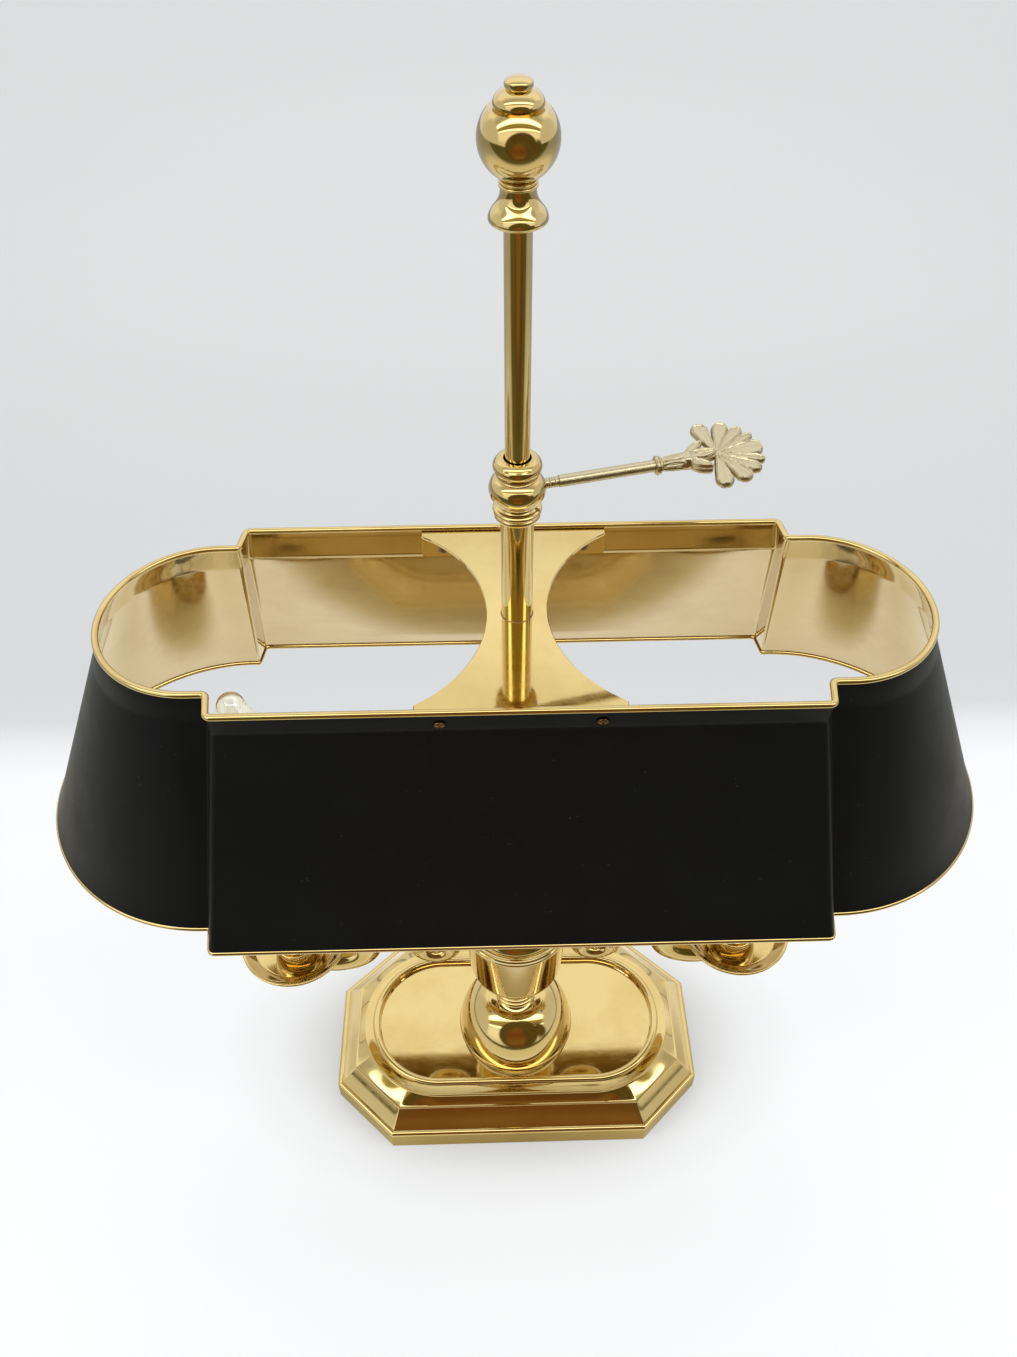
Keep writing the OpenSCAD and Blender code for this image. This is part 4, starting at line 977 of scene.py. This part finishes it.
def palmette_mesh():
    """Ferrule, leafy stem and the fan of petals."""
    z0, h = FERRULE_Z, 2.2
    line = [(0, 0), (2.6, 0), (3.3, 0.6), (3.35, 1.0), (2.8, 1.4), (3.2, 1.8), (3.1, 2.1), (2.2, 2.7),
            (1.95, 3.6), (2.1, 6.0), (2.5, 9.0), (3.2, STEM_L - 11.5), (3.3, STEM_L - 10), (2.3, STEM_L - 5),
            (1.3, STEM_L), (0, STEM_L)]
    fine = []
    for a, b in zip(line, line[1:]):
        fine += [tuple(np.array(a) + (np.array(b) - np.array(a)) * t) for t in np.linspace(0, 1, 6)[:-1]]
    body = lathe([(r, z0 + z) for r, z in fine + [line[-1]]], steps=72)
    out = []
    for x, y, z in body[0]:
        t, a = z - z0, math.atan2(y, x)
        if t < h + 0.2:
            swell = 0.16 * math.sin(9 * a) * math.sin(math.pi * min(1.0, t / h))
        else:
            wave = 0.2 * math.sin(6 * a + 0.6 * t)
            swell = wave * min(1.0, (t - h) / 3) * (0.6 + 0.4 * math.sin(1.9 * t + a))
        k = 1 + swell / max(0.5, math.hypot(x, y))
        out.append((x * k, y * k * (1.0 if t < 13 else 0.9), z))
    parts = [(out, body[1])]
    fan = (Matrix.Translation((0, -0.5, FOCUS)) @ Matrix.Rotation(math.radians(2), 4, "Y")
           @ Matrix.Rotation(math.radians(3), 4, "X"))
    for side in (-1, 1):
        for angle, half in PETALS[0 if side > 0 else 1:]:
            turn = fan @ Matrix.Rotation(math.radians(side * angle), 4, "Y")
            parts.append(placed(blade_mesh(PETAL_L, half, petal_outline, 0.75, 0.55, 0.16), turn))
    middle = fan @ Matrix.Translation((0, -1.3, -11)) @ Matrix.Rotation(math.radians(2), 4, "X")
    parts.append(placed(blade_mesh(10.9, 2.4, leaf_outline, 0.6, 0.5, 0.3), middle))
    for side in (-1, 1):
        for face in (-1, 1):
            turn = (fan @ Matrix.Translation((side * 1.6, face * 0.9, -10.6))
                    @ Matrix.Rotation(math.radians(side * 36), 4, "Y"))
            if face > 0:
                turn = turn @ Matrix.Rotation(math.pi, 4, "Z")
            parts.append(placed(blade_mesh(8.9, 1.9, leaf_outline, 0.7, 0.5, 0.0), turn))
    for turn_by in range(0, 360, 60):
        turn = (Matrix.Translation((0, 0, z0 + 2.0)) @ Matrix.Rotation(math.radians(turn_by), 4, "Z")
                @ Matrix.Translation((0, -1.7, 0)) @ Matrix.Rotation(math.radians(5), 4, "X"))
        parts.append(placed(blade_mesh(9.5, 1.25, leaf_outline, 0.35, 0.3, 0.2), turn))
    return joined(*parts)


def mark_hollows(obj, reach):
    """Stores on each point how hollow the surface is there, from its neighbours' mean place."""
    data = obj.data
    work = bmesh.new()
    work.from_mesh(data)
    work.verts.ensure_lookup_table()
    values = []
    for v in work.verts:
        links = [e.other_vert(v).co for e in v.link_edges]
        mean = sum(links, Vector()) / max(1, len(links))
        far = max(1e-9, sum((c - v.co).length for c in links) / max(1, len(links)))
        values.append(max(0.0, min(1.0, (mean - v.co).dot(v.normal) / far * reach + 0.25)))
    work.free()
    data.attributes.new("hollow", "FLOAT", "POINT").data.foreach_set("value", np.array(values, np.float32))


# ---------- Properties ----------

class LampSizes(bpy.types.PropertyGroup):
    """Sizes that change how the lamp looks without moving its frame."""
    bead_sides: bpy.props.IntProperty(
        name="Bead sides", description="Sides of each rolled bead's section", default=24, min=8, max=48)
    rim_bead: bpy.props.FloatProperty(
        name="Rim bead", description="Radius of the rolled bead round the upper rim",
        default=RIM_BEAD * MM, min=0.0005, max=0.003, precision=5, unit="LENGTH")
    low_bead: bpy.props.FloatProperty(
        name="Lower bead", description="Radius of the rolled bead round the lower edge",
        default=LOW_BEAD * MM, min=0.0005, max=0.003, precision=5, unit="LENGTH")
    thread_pitch: bpy.props.FloatProperty(
        name="Thread pitch", description="Pitch of the thumb screw's thread",
        default=0.00095, min=0.0004, max=0.002, precision=5, unit="LENGTH")
    thread_ridge: bpy.props.FloatProperty(
        name="Thread ridge", description="Radius of the ridge that makes the thread",
        default=0.0003, min=0.0001, max=0.0006, precision=5, unit="LENGTH")


class LampColours(bpy.types.PropertyGroup):
    """Colours of the main finishes, which the next build takes up."""
    brass: bpy.props.FloatVectorProperty(
        name="Brass", description="Colour of the buffed brass", subtype="COLOR", size=4,
        default=hex_colour("#d1b976"), min=0.0, max=1.0)
    sheet: bpy.props.FloatVectorProperty(
        name="Sheet", description="Colour of the brass sheet inside the shade", subtype="COLOR", size=4,
        default=hex_colour("#c4ab72"), min=0.0, max=1.0)
    paint: bpy.props.FloatVectorProperty(
        name="Paint", description="Colour of the paint outside the shade", subtype="COLOR", size=4,
        default=hex_colour("#0d0f10"), min=0.0, max=1.0)


# ---------- Operators ----------

class LAMP_OT_finishes(bpy.types.Operator):
    """Make all the finishes"""
    bl_idname = "lamp.finishes"
    bl_label = "Finishes"

    def execute(self, context):
        make_finishes(context.scene.lamp_colours)
        return {"FINISHED"}


class LAMP_OT_hidden(bpy.types.Operator):
    """Give the frame's own nodes, which stay, their finishes"""
    bl_idname = "lamp.hidden"
    bl_label = "Inner hardware"

    def execute(self, context):
        finishes = {
            "base_weight": "iron", "base_cover": "zinc", "base_felt": "felt", "base_washer": "zinc",
            "base_nut": "zinc", "cord_bushing": "rubber", "lamp_pipe": "zinc", "arm_nuts": "zinc",
            "lamp_holder_left": "phenolic", "lamp_holder_right": "phenolic",
            "bulb_cap_left": "nickel", "bulb_cap_right": "nickel", "tube_nut": "buffed", "shade_nuts": "zinc",
        }
        for node, finish in finishes.items():
            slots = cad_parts[node].material_slots
            if not slots:
                raise RuntimeError(f"{node} has no material slot")
            for slot in slots:
                slot.material = FINISH[finish]
        return {"FINISHED"}


class LAMP_OT_base(bpy.types.Operator):
    """Build the base"""
    bl_idname = "lamp.base"
    bl_label = "Base"

    def execute(self, context):
        piece("base", base_mesh(), FINISH["buffed"], "base", "base_shell", 32.0)
        return {"FINISHED"}


class LAMP_OT_column(bpy.types.Operator):
    """Build the turned pieces of the column"""
    bl_idname = "lamp.column"
    bl_label = "Column"

    def execute(self, context):
        for name, profile, z, node in (
                ("column_foot_turned", foot_profile(), FOOT_Z, "column_foot"),
                ("column_reeds_turned", reeds_profile(), REEDS_Z, "column_reeds"),
                ("column_cup_turned", cup_profile(), CUP_Z, "column_cup"),
                ("cup_cap_turned", cap_profile(), CAP_Z, "cup_cap"),
                ("rod_socket_turned", socket_profile(), SOCKET_Z, "rod_socket")):
            mesh = lathe([(r, z + h) for r, h in profile], steps=160, ring=True)
            piece(name, mesh, FINISH["buffed"], "base", node, 40.0)
        return {"FINISHED"}


class LAMP_OT_arms(bpy.types.Operator):
    """Build the two arms"""
    bl_idname = "lamp.arms"
    bl_label = "Arms"

    def execute(self, context):
        mesh = arm_mesh()
        piece("arm_cast_right", mesh, FINISH["cast"], "base", "arm_right", 40.0)
        piece("arm_cast_left", mirrored(mesh), FINISH["cast"], "base", "arm_left", 40.0)
        return {"FINISHED"}


class LAMP_OT_candles(bpy.types.Operator):
    """Build the drip pans, candle cups, sleeves and bulbs"""
    bl_idname = "lamp.candles"
    bl_label = "Candles"

    def execute(self, context):
        for side, word in ((-1, "left"), (1, "right")):
            at = (side * CANDLE_X, 0)
            length = span(f"bulb_{word}")[1][2] - SLEEVE_TOP
            piece(f"pan_{word}", lathe(pan_profile(), at, 144, ring=True), FINISH["buffed"], "base",
                  f"drip_pan_{word}", 40.0)
            piece(f"cup_{word}", lathe(candle_cup_profile(), at, 112), FINISH["buffed"], "base",
                  f"candle_cup_{word}", 40.0)
            piece(f"sleeve_{word}", lathe(sleeve_profile(), at, 112, ring=True), FINISH["card"], "base",
                  f"candle_sleeve_{word}", 40.0)
            piece(f"glass_{word}", bulb_mesh(side, length), FINISH["glass"], "base",
                  f"bulb_{word}", 40.0)
            piece(f"filament_{word}", filament_mesh(side, length), FINISH["filament"], "base", None,
                  40.0)
        return {"FINISHED"}


class LAMP_OT_rod(bpy.types.Operator):
    """Build the centre rod and its finial"""
    bl_idname = "lamp.rod"
    bl_label = "Rod and finial"

    def execute(self, context):
        low = span("centre_rod")[0][2]
        high = FINIAL_Z + 1
        bar = lathe([(0, low), (ROD_R - 0.3, low), (ROD_R, low + 0.3), (ROD_R, high), (0, high)], steps=96)
        piece("rod_drawn", bar, FINISH["buffed"], "rod", "centre_rod", 40.0)
        piece("finial_turned", lathe(finial_profile(), steps=144), FINISH["buffed"], "rod", "finial",
              40.0)
        return {"FINISHED"}


class LAMP_OT_shade(bpy.types.Operator):
    """Build the shade's sheet and its two rolled beads"""
    bl_idname = "lamp.shade"
    bl_label = "Shade"

    def execute(self, context):
        sizes = context.scene.lamp_sizes
        mesh, pick = shade_mesh()
        piece("shade_sheet", mesh, [FINISH["paint"], FINISH["sheet"]], "carriage", "shade_shell",
              40.0, pick)
        for name, line, z, radius, node in (
                ("rim_bead", RIM_LINE, SHADE_Z, sizes.rim_bead, "rim_bead_wire"),
                ("low_bead", LOW_LINE, LOW_Z, sizes.low_bead, "low_bead_wire")):
            made = group_mesh(name, closed_line(name + "_line", line, z), "bead",
                              {"Bead radius": radius, "Sides": sizes.bead_sides, "Finish": FINISH["buffed"]})
            kept(made, "carriage", node)
        return {"FINISHED"}


class LAMP_OT_bridge(bpy.types.Operator):
    """Build the bridge plate, the sleeve tube and its collar"""
    bl_idname = "lamp.bridge"
    bl_label = "Bridge and sleeve"

    def execute(self, context):
        piece("bridge", bridge_mesh(), FINISH["buffed"], "carriage", "bridge_plate", 30.0)
        low, high = span("sleeve_tube")[0][2], span("sleeve_tube")[1][2]
        tube_line = [(ROD_R + 0.08, low), (TUBE_R, low), (TUBE_R, high), (ROD_R + 0.08, high)]
        piece("tube_drawn", lathe(tube_line, steps=112, ring=True), FINISH["buffed"], "carriage", "sleeve_tube",
              40.0)
        seam = [(TUBE_R, BRIDGE_Z - 0.1), (TUBE_R + 0.3, BRIDGE_Z - 0.1), (TUBE_R + 0.3, BRIDGE_Z + 0.12),
                (TUBE_R + 0.05, BRIDGE_Z + 0.4), (TUBE_R, BRIDGE_Z + 0.4)]
        piece("tube_seam", lathe(seam, steps=96, ring=True), FINISH["bronze"], "carriage", None,
              40.0)
        piece("collar_turned", lathe(collar_profile(), steps=144, ring=True), FINISH["buffed"], "carriage",
              "sleeve_collar", 38.0)
        return {"FINISHED"}


class LAMP_OT_screws(bpy.types.Operator):
    """Set the four screws that hold the shade to the bridge plate"""
    bl_idname = "lamp.screws"
    bl_label = "Shade screws"

    def execute(self, context):
        head = new_object("screw_pattern", screw_head_mesh(), [FINISH["bronze"]], 30.0)
        places, turns = screw_places(SHADE_T / 2 + 0.1)
        points = point_set("screw_points", places, turns, [(1, 1, 1)] * 4)
        made = group_mesh("screws", points, "copies", {"Piece": head, "Scale": 1.0, "Finish": FINISH["bronze"]})
        bpy.data.objects.remove(head)
        kept(made, "carriage", "shade_screws")
        return {"FINISHED"}


class LAMP_OT_key(bpy.types.Operator):
    """Build the thumb screw and its palmette"""
    bl_idname = "lamp.key"
    bl_label = "Thumb screw"

    def execute(self, context):
        sizes = context.scene.lamp_sizes
        root, plain = 1.6, 2.1
        core = lathe([(0, 0), (root - 0.3, 0), (root, 0.5), (root, THREAD_L - 0.3), (plain, THREAD_L),
                      (plain, FERRULE_Z), (0, FERRULE_Z)], steps=64)
        shank = new_object("shank_core", core, [FINISH["palmette"]])
        made = group_mesh("screw_shank", shank, "thread", {
            "Radius": root * MM, "Length": (THREAD_L - 0.4) * MM, "Pitch": sizes.thread_pitch,
            "Ridge": sizes.thread_ridge, "Finish": FINISH["palmette"]})
        made.data.attributes.new("hollow", "FLOAT", "POINT")
        made.data.transform(Matrix.Scale(MM, 4) @ key_frame() @ Matrix.Scale(1 / MM, 4))
        kept(made, "key", "thumb_screw")
        fan = new_object("palmette", placed(palmette_mesh(), key_frame()), [FINISH["palmette"]], 60.0)
        mark_hollows(fan, 2.5)
        kept(fan, "key", "palmette_head")
        return {"FINISHED"}


class LAMP_OT_stage(bpy.types.Operator):
    """Set the floor, the lights and the camera"""
    bl_idname = "lamp.stage"
    bl_label = "Stage"

    def execute(self, context):
        corners = [(-6000, -4000, 0), (6000, -4000, 0), (6000, 8000, 0), (-6000, 8000, 0)]
        new_object("floor", (corners, [(0, 1, 2, 3)]), [floor_paper()])
        make_world()
        for name, place, aim, size, power in (
                ("softbox_left", (-0.9, -0.35, 1.25), (0, 0, 0.3), (0.7, 0.9), 7.5),
                ("softbox_right", (0.95, -0.25, 1.2), (0, 0, 0.3), (0.7, 0.9), 7.5),
                ("softbox_back", (0.0, 0.9, 1.5), (0, 0, 0.25), (1.6, 0.8), 7.5)):
            light = bpy.data.lights.new(name, "AREA")
            light.shape = "RECTANGLE"
            light.size, light.size_y = size
            light.energy = power
            lamp = linked(name, light)
            lamp.location = place
            lamp.rotation_euler = (Vector(aim) - Vector(place)).to_track_quat("-Z", "Y").to_euler()
            lamp.visible_glossy = False
        # A glowing sheet that only reflections see: a painted reflection of a dark figure in front of the lamp
        corners = [(x, FLAG_Y, z) for x, z in ((-1500, 1), (1500, 1), (1500, 1000), (-1500, 1000))]
        flag = new_object("dark_flag", (corners, [(0, 1, 2, 3)]), [flag_cloth()])
        for kind in ("camera", "diffuse", "transmission", "shadow", "volume_scatter"):
            setattr(flag, "visible_" + kind, False)
        make_camera()
        context.scene.view_settings.view_transform = "Standard"
        return {"FINISHED"}


def floor_paper():
    """White paper floor: matt, greyer by painted shade where the sweep would rise behind the lamp, with a
    painted contact shadow round the base, and dimmer and warmer in the brass by a painted reflection tone.
    """
    material, tree, where = new_material("matt_paper_sweep")
    depth = add(tree, "ShaderNodeSeparateXYZ", {"Vector": where}).outputs["Y"]
    # Painted shade: the flat floor greys further back, as the sweep does where it rises behind the lamp
    rise = add(tree, "ShaderNodeMapRange", {"Value": depth, "From Min": 0.15, "From Max": 2.15})
    tone = add(tree, "ShaderNodeValToRGB", {"Fac": rise}, [
        (0.0, "#f7f8f9"), (0.035, "#f3f4f6"), (0.05, "#e8e9eb"), (0.062, "#d6d8d9"), (0.09, "#d3d5d6"),
        (0.2, "#d6d8d8"), (0.28, "#dadbdb"), (0.39, "#e0e1e1"), (0.53, "#e5e6e6"), (0.73, "#ebebeb"),
        (1.0, "#f0f0f0")])
    # Distance from the oblong base, in metres
    oblong = add(tree, "ShaderNodeVectorMath", {0: where, 1: (0.55, 1.0, 1.0)}, operation="MULTIPLY")
    away = add(tree, "ShaderNodeVectorMath", {0: oblong}, operation="LENGTH")
    # Painted contact shadow: the floor's tone darkens close round the base
    contact = add(tree, "ShaderNodeValToRGB", {"Fac": away}, [
        (0.056, "#dcdcdb"), (0.066, "#e7e7e6"), (0.08, "#f7f7f7"), (0.1, "#ffffff")])
    tone = add(tree, "ShaderNodeMix", {"Factor": 1.0, "A": tone, "B": contact},
               data_type="RGBA", blend_type="MULTIPLY")
    # Painted reflection: what the brass sees of the floor is a tone of its own, dark and warm near the base as
    # painted shade and painted brass light, paler further out, and dark ahead where a figure stands;
    # reflections see it 2.2 times as bright
    near = add(tree, "ShaderNodeValToRGB", {"Fac": away}, [
        (0.062, "#8d8160"), (0.078, "#a89d7c"), (0.09, "#d8d8d8"), (0.13, "#cac6b8"), (0.35, "#c4c0b2"),
        (0.6, "#979797"), (1.0, "#909090")])
    front = add(tree, "ShaderNodeMapRange", {"Value": depth, "From Min": -0.34, "From Max": -0.54},
                interpolation_type="SMOOTHSTEP")
    in_brass = add(tree, "ShaderNodeMix", {"Factor": front, "A": near, "B": "#54502e"}, data_type="RGBA")
    path = add(tree, "ShaderNodeLightPath")
    glossy = path.outputs["Is Glossy Ray"]
    tone = add(tree, "ShaderNodeMix", {"Factor": glossy, "A": tone, "B": in_brass}, data_type="RGBA")
    paper = add(tree, "ShaderNodeBsdfPrincipled", {
        "Base Color": tone, "Roughness": 0.9, "Specular IOR Level": 0.1})
    level = add(tree, "ShaderNodeMapRange", {"Value": glossy, "To Min": 1.0, "To Max": 2.2})
    glow = add(tree, "ShaderNodeEmission", {"Color": tone, "Strength": level})
    # Half of what the camera, the brass and the glass see is the plain tone, the other half takes the shadows
    seen = add(tree, "ShaderNodeMath", {0: path.outputs["Is Camera Ray"], 1: glossy}, operation="MAXIMUM")
    seen = add(tree, "ShaderNodeMath", {0: seen, 1: path.outputs["Is Transmission Ray"]}, operation="MAXIMUM")
    share = add(tree, "ShaderNodeMath", {0: seen, 1: 0.5}, operation="MULTIPLY")
    both = add(tree, "ShaderNodeMixShader", {0: share, 1: paper, 2: glow})
    add(tree, "ShaderNodeOutputMaterial", {"Surface": both})
    return material


def soft_oval(tree, place, centre, radii, edge):
    """1 inside an oval in the reflection sheet's plane, falling softly to 0 at its border."""
    offset = add(tree, "ShaderNodeVectorMath", {0: place, 1: (centre[0], FLAG_Y * MM, centre[1])},
                 operation="SUBTRACT")
    scaled = add(tree, "ShaderNodeVectorMath", {0: offset, 1: (radii[0], 1.0, radii[1])}, operation="DIVIDE")
    far = add(tree, "ShaderNodeVectorMath", {0: scaled}, operation="LENGTH")
    return add(tree, "ShaderNodeMapRange", {"Value": far, "From Min": 1.0, "From Max": 1.0 - edge},
               interpolation_type="SMOOTHSTEP")


def flag_cloth():
    """Glowing sheet in front, seen only in reflections, that paints the reflection of a dark figure: olive
    black, red-brown in its middle.
    """
    material, tree, where = new_material("painted_figure_reflection")
    fold = add(tree, "ShaderNodeTexNoise", {"Vector": where, "Scale": 7.0, "Detail": 4.0})
    body = soft_oval(tree, where, (0.1, 0.45), (0.64, 0.51), 0.16)
    arm = soft_oval(tree, where, (0.8, 0.35), (0.45, 0.42), 0.5)
    middle = soft_oval(tree, where, (0.0, 0.3), (0.27, 0.34), 0.4)
    height = add(tree, "ShaderNodeSeparateXYZ", {"Vector": where}).outputs["Z"]
    warm = add(tree, "ShaderNodeValToRGB", {"Fac": height}, [
        (0.08, "#6c4220"), (0.13, "#9c7845"), (0.22, "#94703c"), (0.34, "#7e4a2a"), (0.62, "#a57d45")])
    dark = add(tree, "ShaderNodeMix", {"Factor": fold, "A": "#514924", "B": "#786637"},
               data_type="RGBA")
    warm = add(tree, "ShaderNodeMix", {"Factor": fold, "A": warm, "B": "#84592f"}, data_type="RGBA")
    tone = add(tree, "ShaderNodeMix", {"Factor": middle, "A": dark, "B": warm}, data_type="RGBA")
    cover = add(tree, "ShaderNodeMath", {0: body, 1: arm}, operation="MAXIMUM")
    clear = add(tree, "ShaderNodeBsdfTransparent")
    glow = add(tree, "ShaderNodeEmission", {"Color": tone, "Strength": 1.0})
    both = add(tree, "ShaderNodeMixShader", {0: cover, 1: clear, 2: glow})
    add(tree, "ShaderNodeOutputMaterial", {"Surface": both})
    return material


def make_world():
    """Soft white tent. In the brass it shows long light strips over the camera and a paler back."""
    world = bpy.data.worlds.new("studio")
    bpy.context.scene.world = world
    world.use_nodes = True
    tree = world.node_tree
    tree.nodes.clear()
    direction = add(tree, "ShaderNodeTexCoord").outputs["Generated"]
    part = add(tree, "ShaderNodeSeparateXYZ", {"Vector": direction})
    ahead = add(tree, "ShaderNodeMath", {0: part.outputs["Y"], 1: -1.0}, operation="MULTIPLY")
    over = add(tree, "ShaderNodeMath", {0: part.outputs["Z"], 1: ahead}, operation="ARCTAN2")
    over = add(tree, "ShaderNodeMath", {0: over, 1: 1.0 / math.pi}, operation="MULTIPLY")
    # Degrees over the front horizon, and the light there
    bands = [(0, "#828282"), (12, "#989898"), (30, "#9c9c9c"), (35.5, "#868686"), (37, "#dcdcdc"),
             (40, "#dcdcdc"), (41.5, "#574d2e"), (52, "#635d3a"), (54, "#cecece"), (58, "#ffffff"),
             (63, "#ffffff"), (66, "#cecece"), (68.5, "#797979"), (76, "#6b6b6b"), (84, "#6e6e6e"),
             (98, "#808080"), (108, "#979797"), (128, "#9a9a9a"), (133, "#929292"), (137, "#9d9d9d"),
             (141, "#8f8f8f"), (160, "#868686"), (180, "#828282")]
    room = add(tree, "ShaderNodeValToRGB", {"Fac": over}, [(angle / 180.0, colour) for angle, colour in bands])
    # The strips end at the sides
    sideways = add(tree, "ShaderNodeMath", {0: part.outputs["X"]}, operation="ABSOLUTE")
    ends = add(tree, "ShaderNodeMapRange", {"Value": sideways, "From Min": 0.8, "From Max": 0.88},
               interpolation_type="SMOOTHSTEP")
    room = add(tree, "ShaderNodeMix", {"Factor": ends, "A": room, "B": "#7c7c7c"}, data_type="RGBA")
    path = add(tree, "ShaderNodeLightPath")
    glossy = path.outputs["Is Glossy Ray"]
    # Only reflections see these bands, at 4.2 times the strength: painted highlight strips, with painted darker
    # bands between and above them, which light nothing
    level = add(tree, "ShaderNodeMapRange", {"Value": glossy, "To Min": 1.0, "To Max": 4.2})
    seen = add(tree, "ShaderNodeMix", {"Factor": path.outputs["Is Camera Ray"], "A": "#c8cacc",
                                       "B": "#f0f0f0"}, data_type="RGBA")
    tone = add(tree, "ShaderNodeMix", {"Factor": glossy, "A": seen, "B": room}, data_type="RGBA")
    back = add(tree, "ShaderNodeBackground", {"Color": tone, "Strength": level})
    add(tree, "ShaderNodeOutputWorld", {"Surface": back})


def make_camera():
    """Camera above and in front of the lamp."""
    data = bpy.data.cameras.new("camera")
    data.lens = 28.84
    data.sensor_width = 36.0
    data.clip_start = 0.02
    camera = linked("camera", data)
    yaw, tilt, roll = math.radians(-1.307), math.radians(43.787), math.radians(-0.253)
    camera.matrix_world = (Matrix.Translation((-0.01019, -0.30236, 0.64004)) @ Matrix.Rotation(yaw, 4, "Z")
                           @ Matrix.Rotation(tilt, 4, "X") @ Matrix.Rotation(roll, 4, "Z"))
    bpy.context.scene.camera = camera


# ---------- Panel and registration ----------

STEPS = ("finishes", "hidden", "base", "column", "arms", "candles", "rod", "shade", "bridge", "screws", "key",
         "stage")


class LAMP_PT_panel(bpy.types.Panel):
    """Sizes, colours and steps of the lamp"""
    bl_idname = "LAMP_PT_panel"
    bl_label = "Bouillotte Lamp"
    bl_space_type = "VIEW_3D"
    bl_region_type = "UI"
    bl_category = "Lamp"

    def draw(self, context):
        for group in (context.scene.lamp_sizes, context.scene.lamp_colours):
            for key in group.__annotations__:
                self.layout.prop(group, key)
        for step in STEPS:
            self.layout.operator(f"lamp.{step}")


CLASSES = (
    LampSizes, LampColours, LAMP_OT_finishes, LAMP_OT_hidden, LAMP_OT_base, LAMP_OT_column, LAMP_OT_arms,
    LAMP_OT_candles, LAMP_OT_rod, LAMP_OT_shade, LAMP_OT_bridge, LAMP_OT_screws, LAMP_OT_key, LAMP_OT_stage,
    LAMP_PT_panel)


def register():
    """Adds the classes and the scene's two groups of properties."""
    for cls in CLASSES:
        bpy.utils.register_class(cls)
    bpy.types.Scene.lamp_sizes = bpy.props.PointerProperty(type=LampSizes)
    bpy.types.Scene.lamp_colours = bpy.props.PointerProperty(type=LampColours)


def unregister():
    """Takes out what register added."""
    del bpy.types.Scene.lamp_colours
    del bpy.types.Scene.lamp_sizes
    for cls in reversed(CLASSES):
        bpy.utils.unregister_class(cls)


def main():
    """Builds the lamp and its stage."""
    register()
    for step in STEPS:
        getattr(bpy.ops.lamp, step)()


if __name__ == "__main__":
    main()
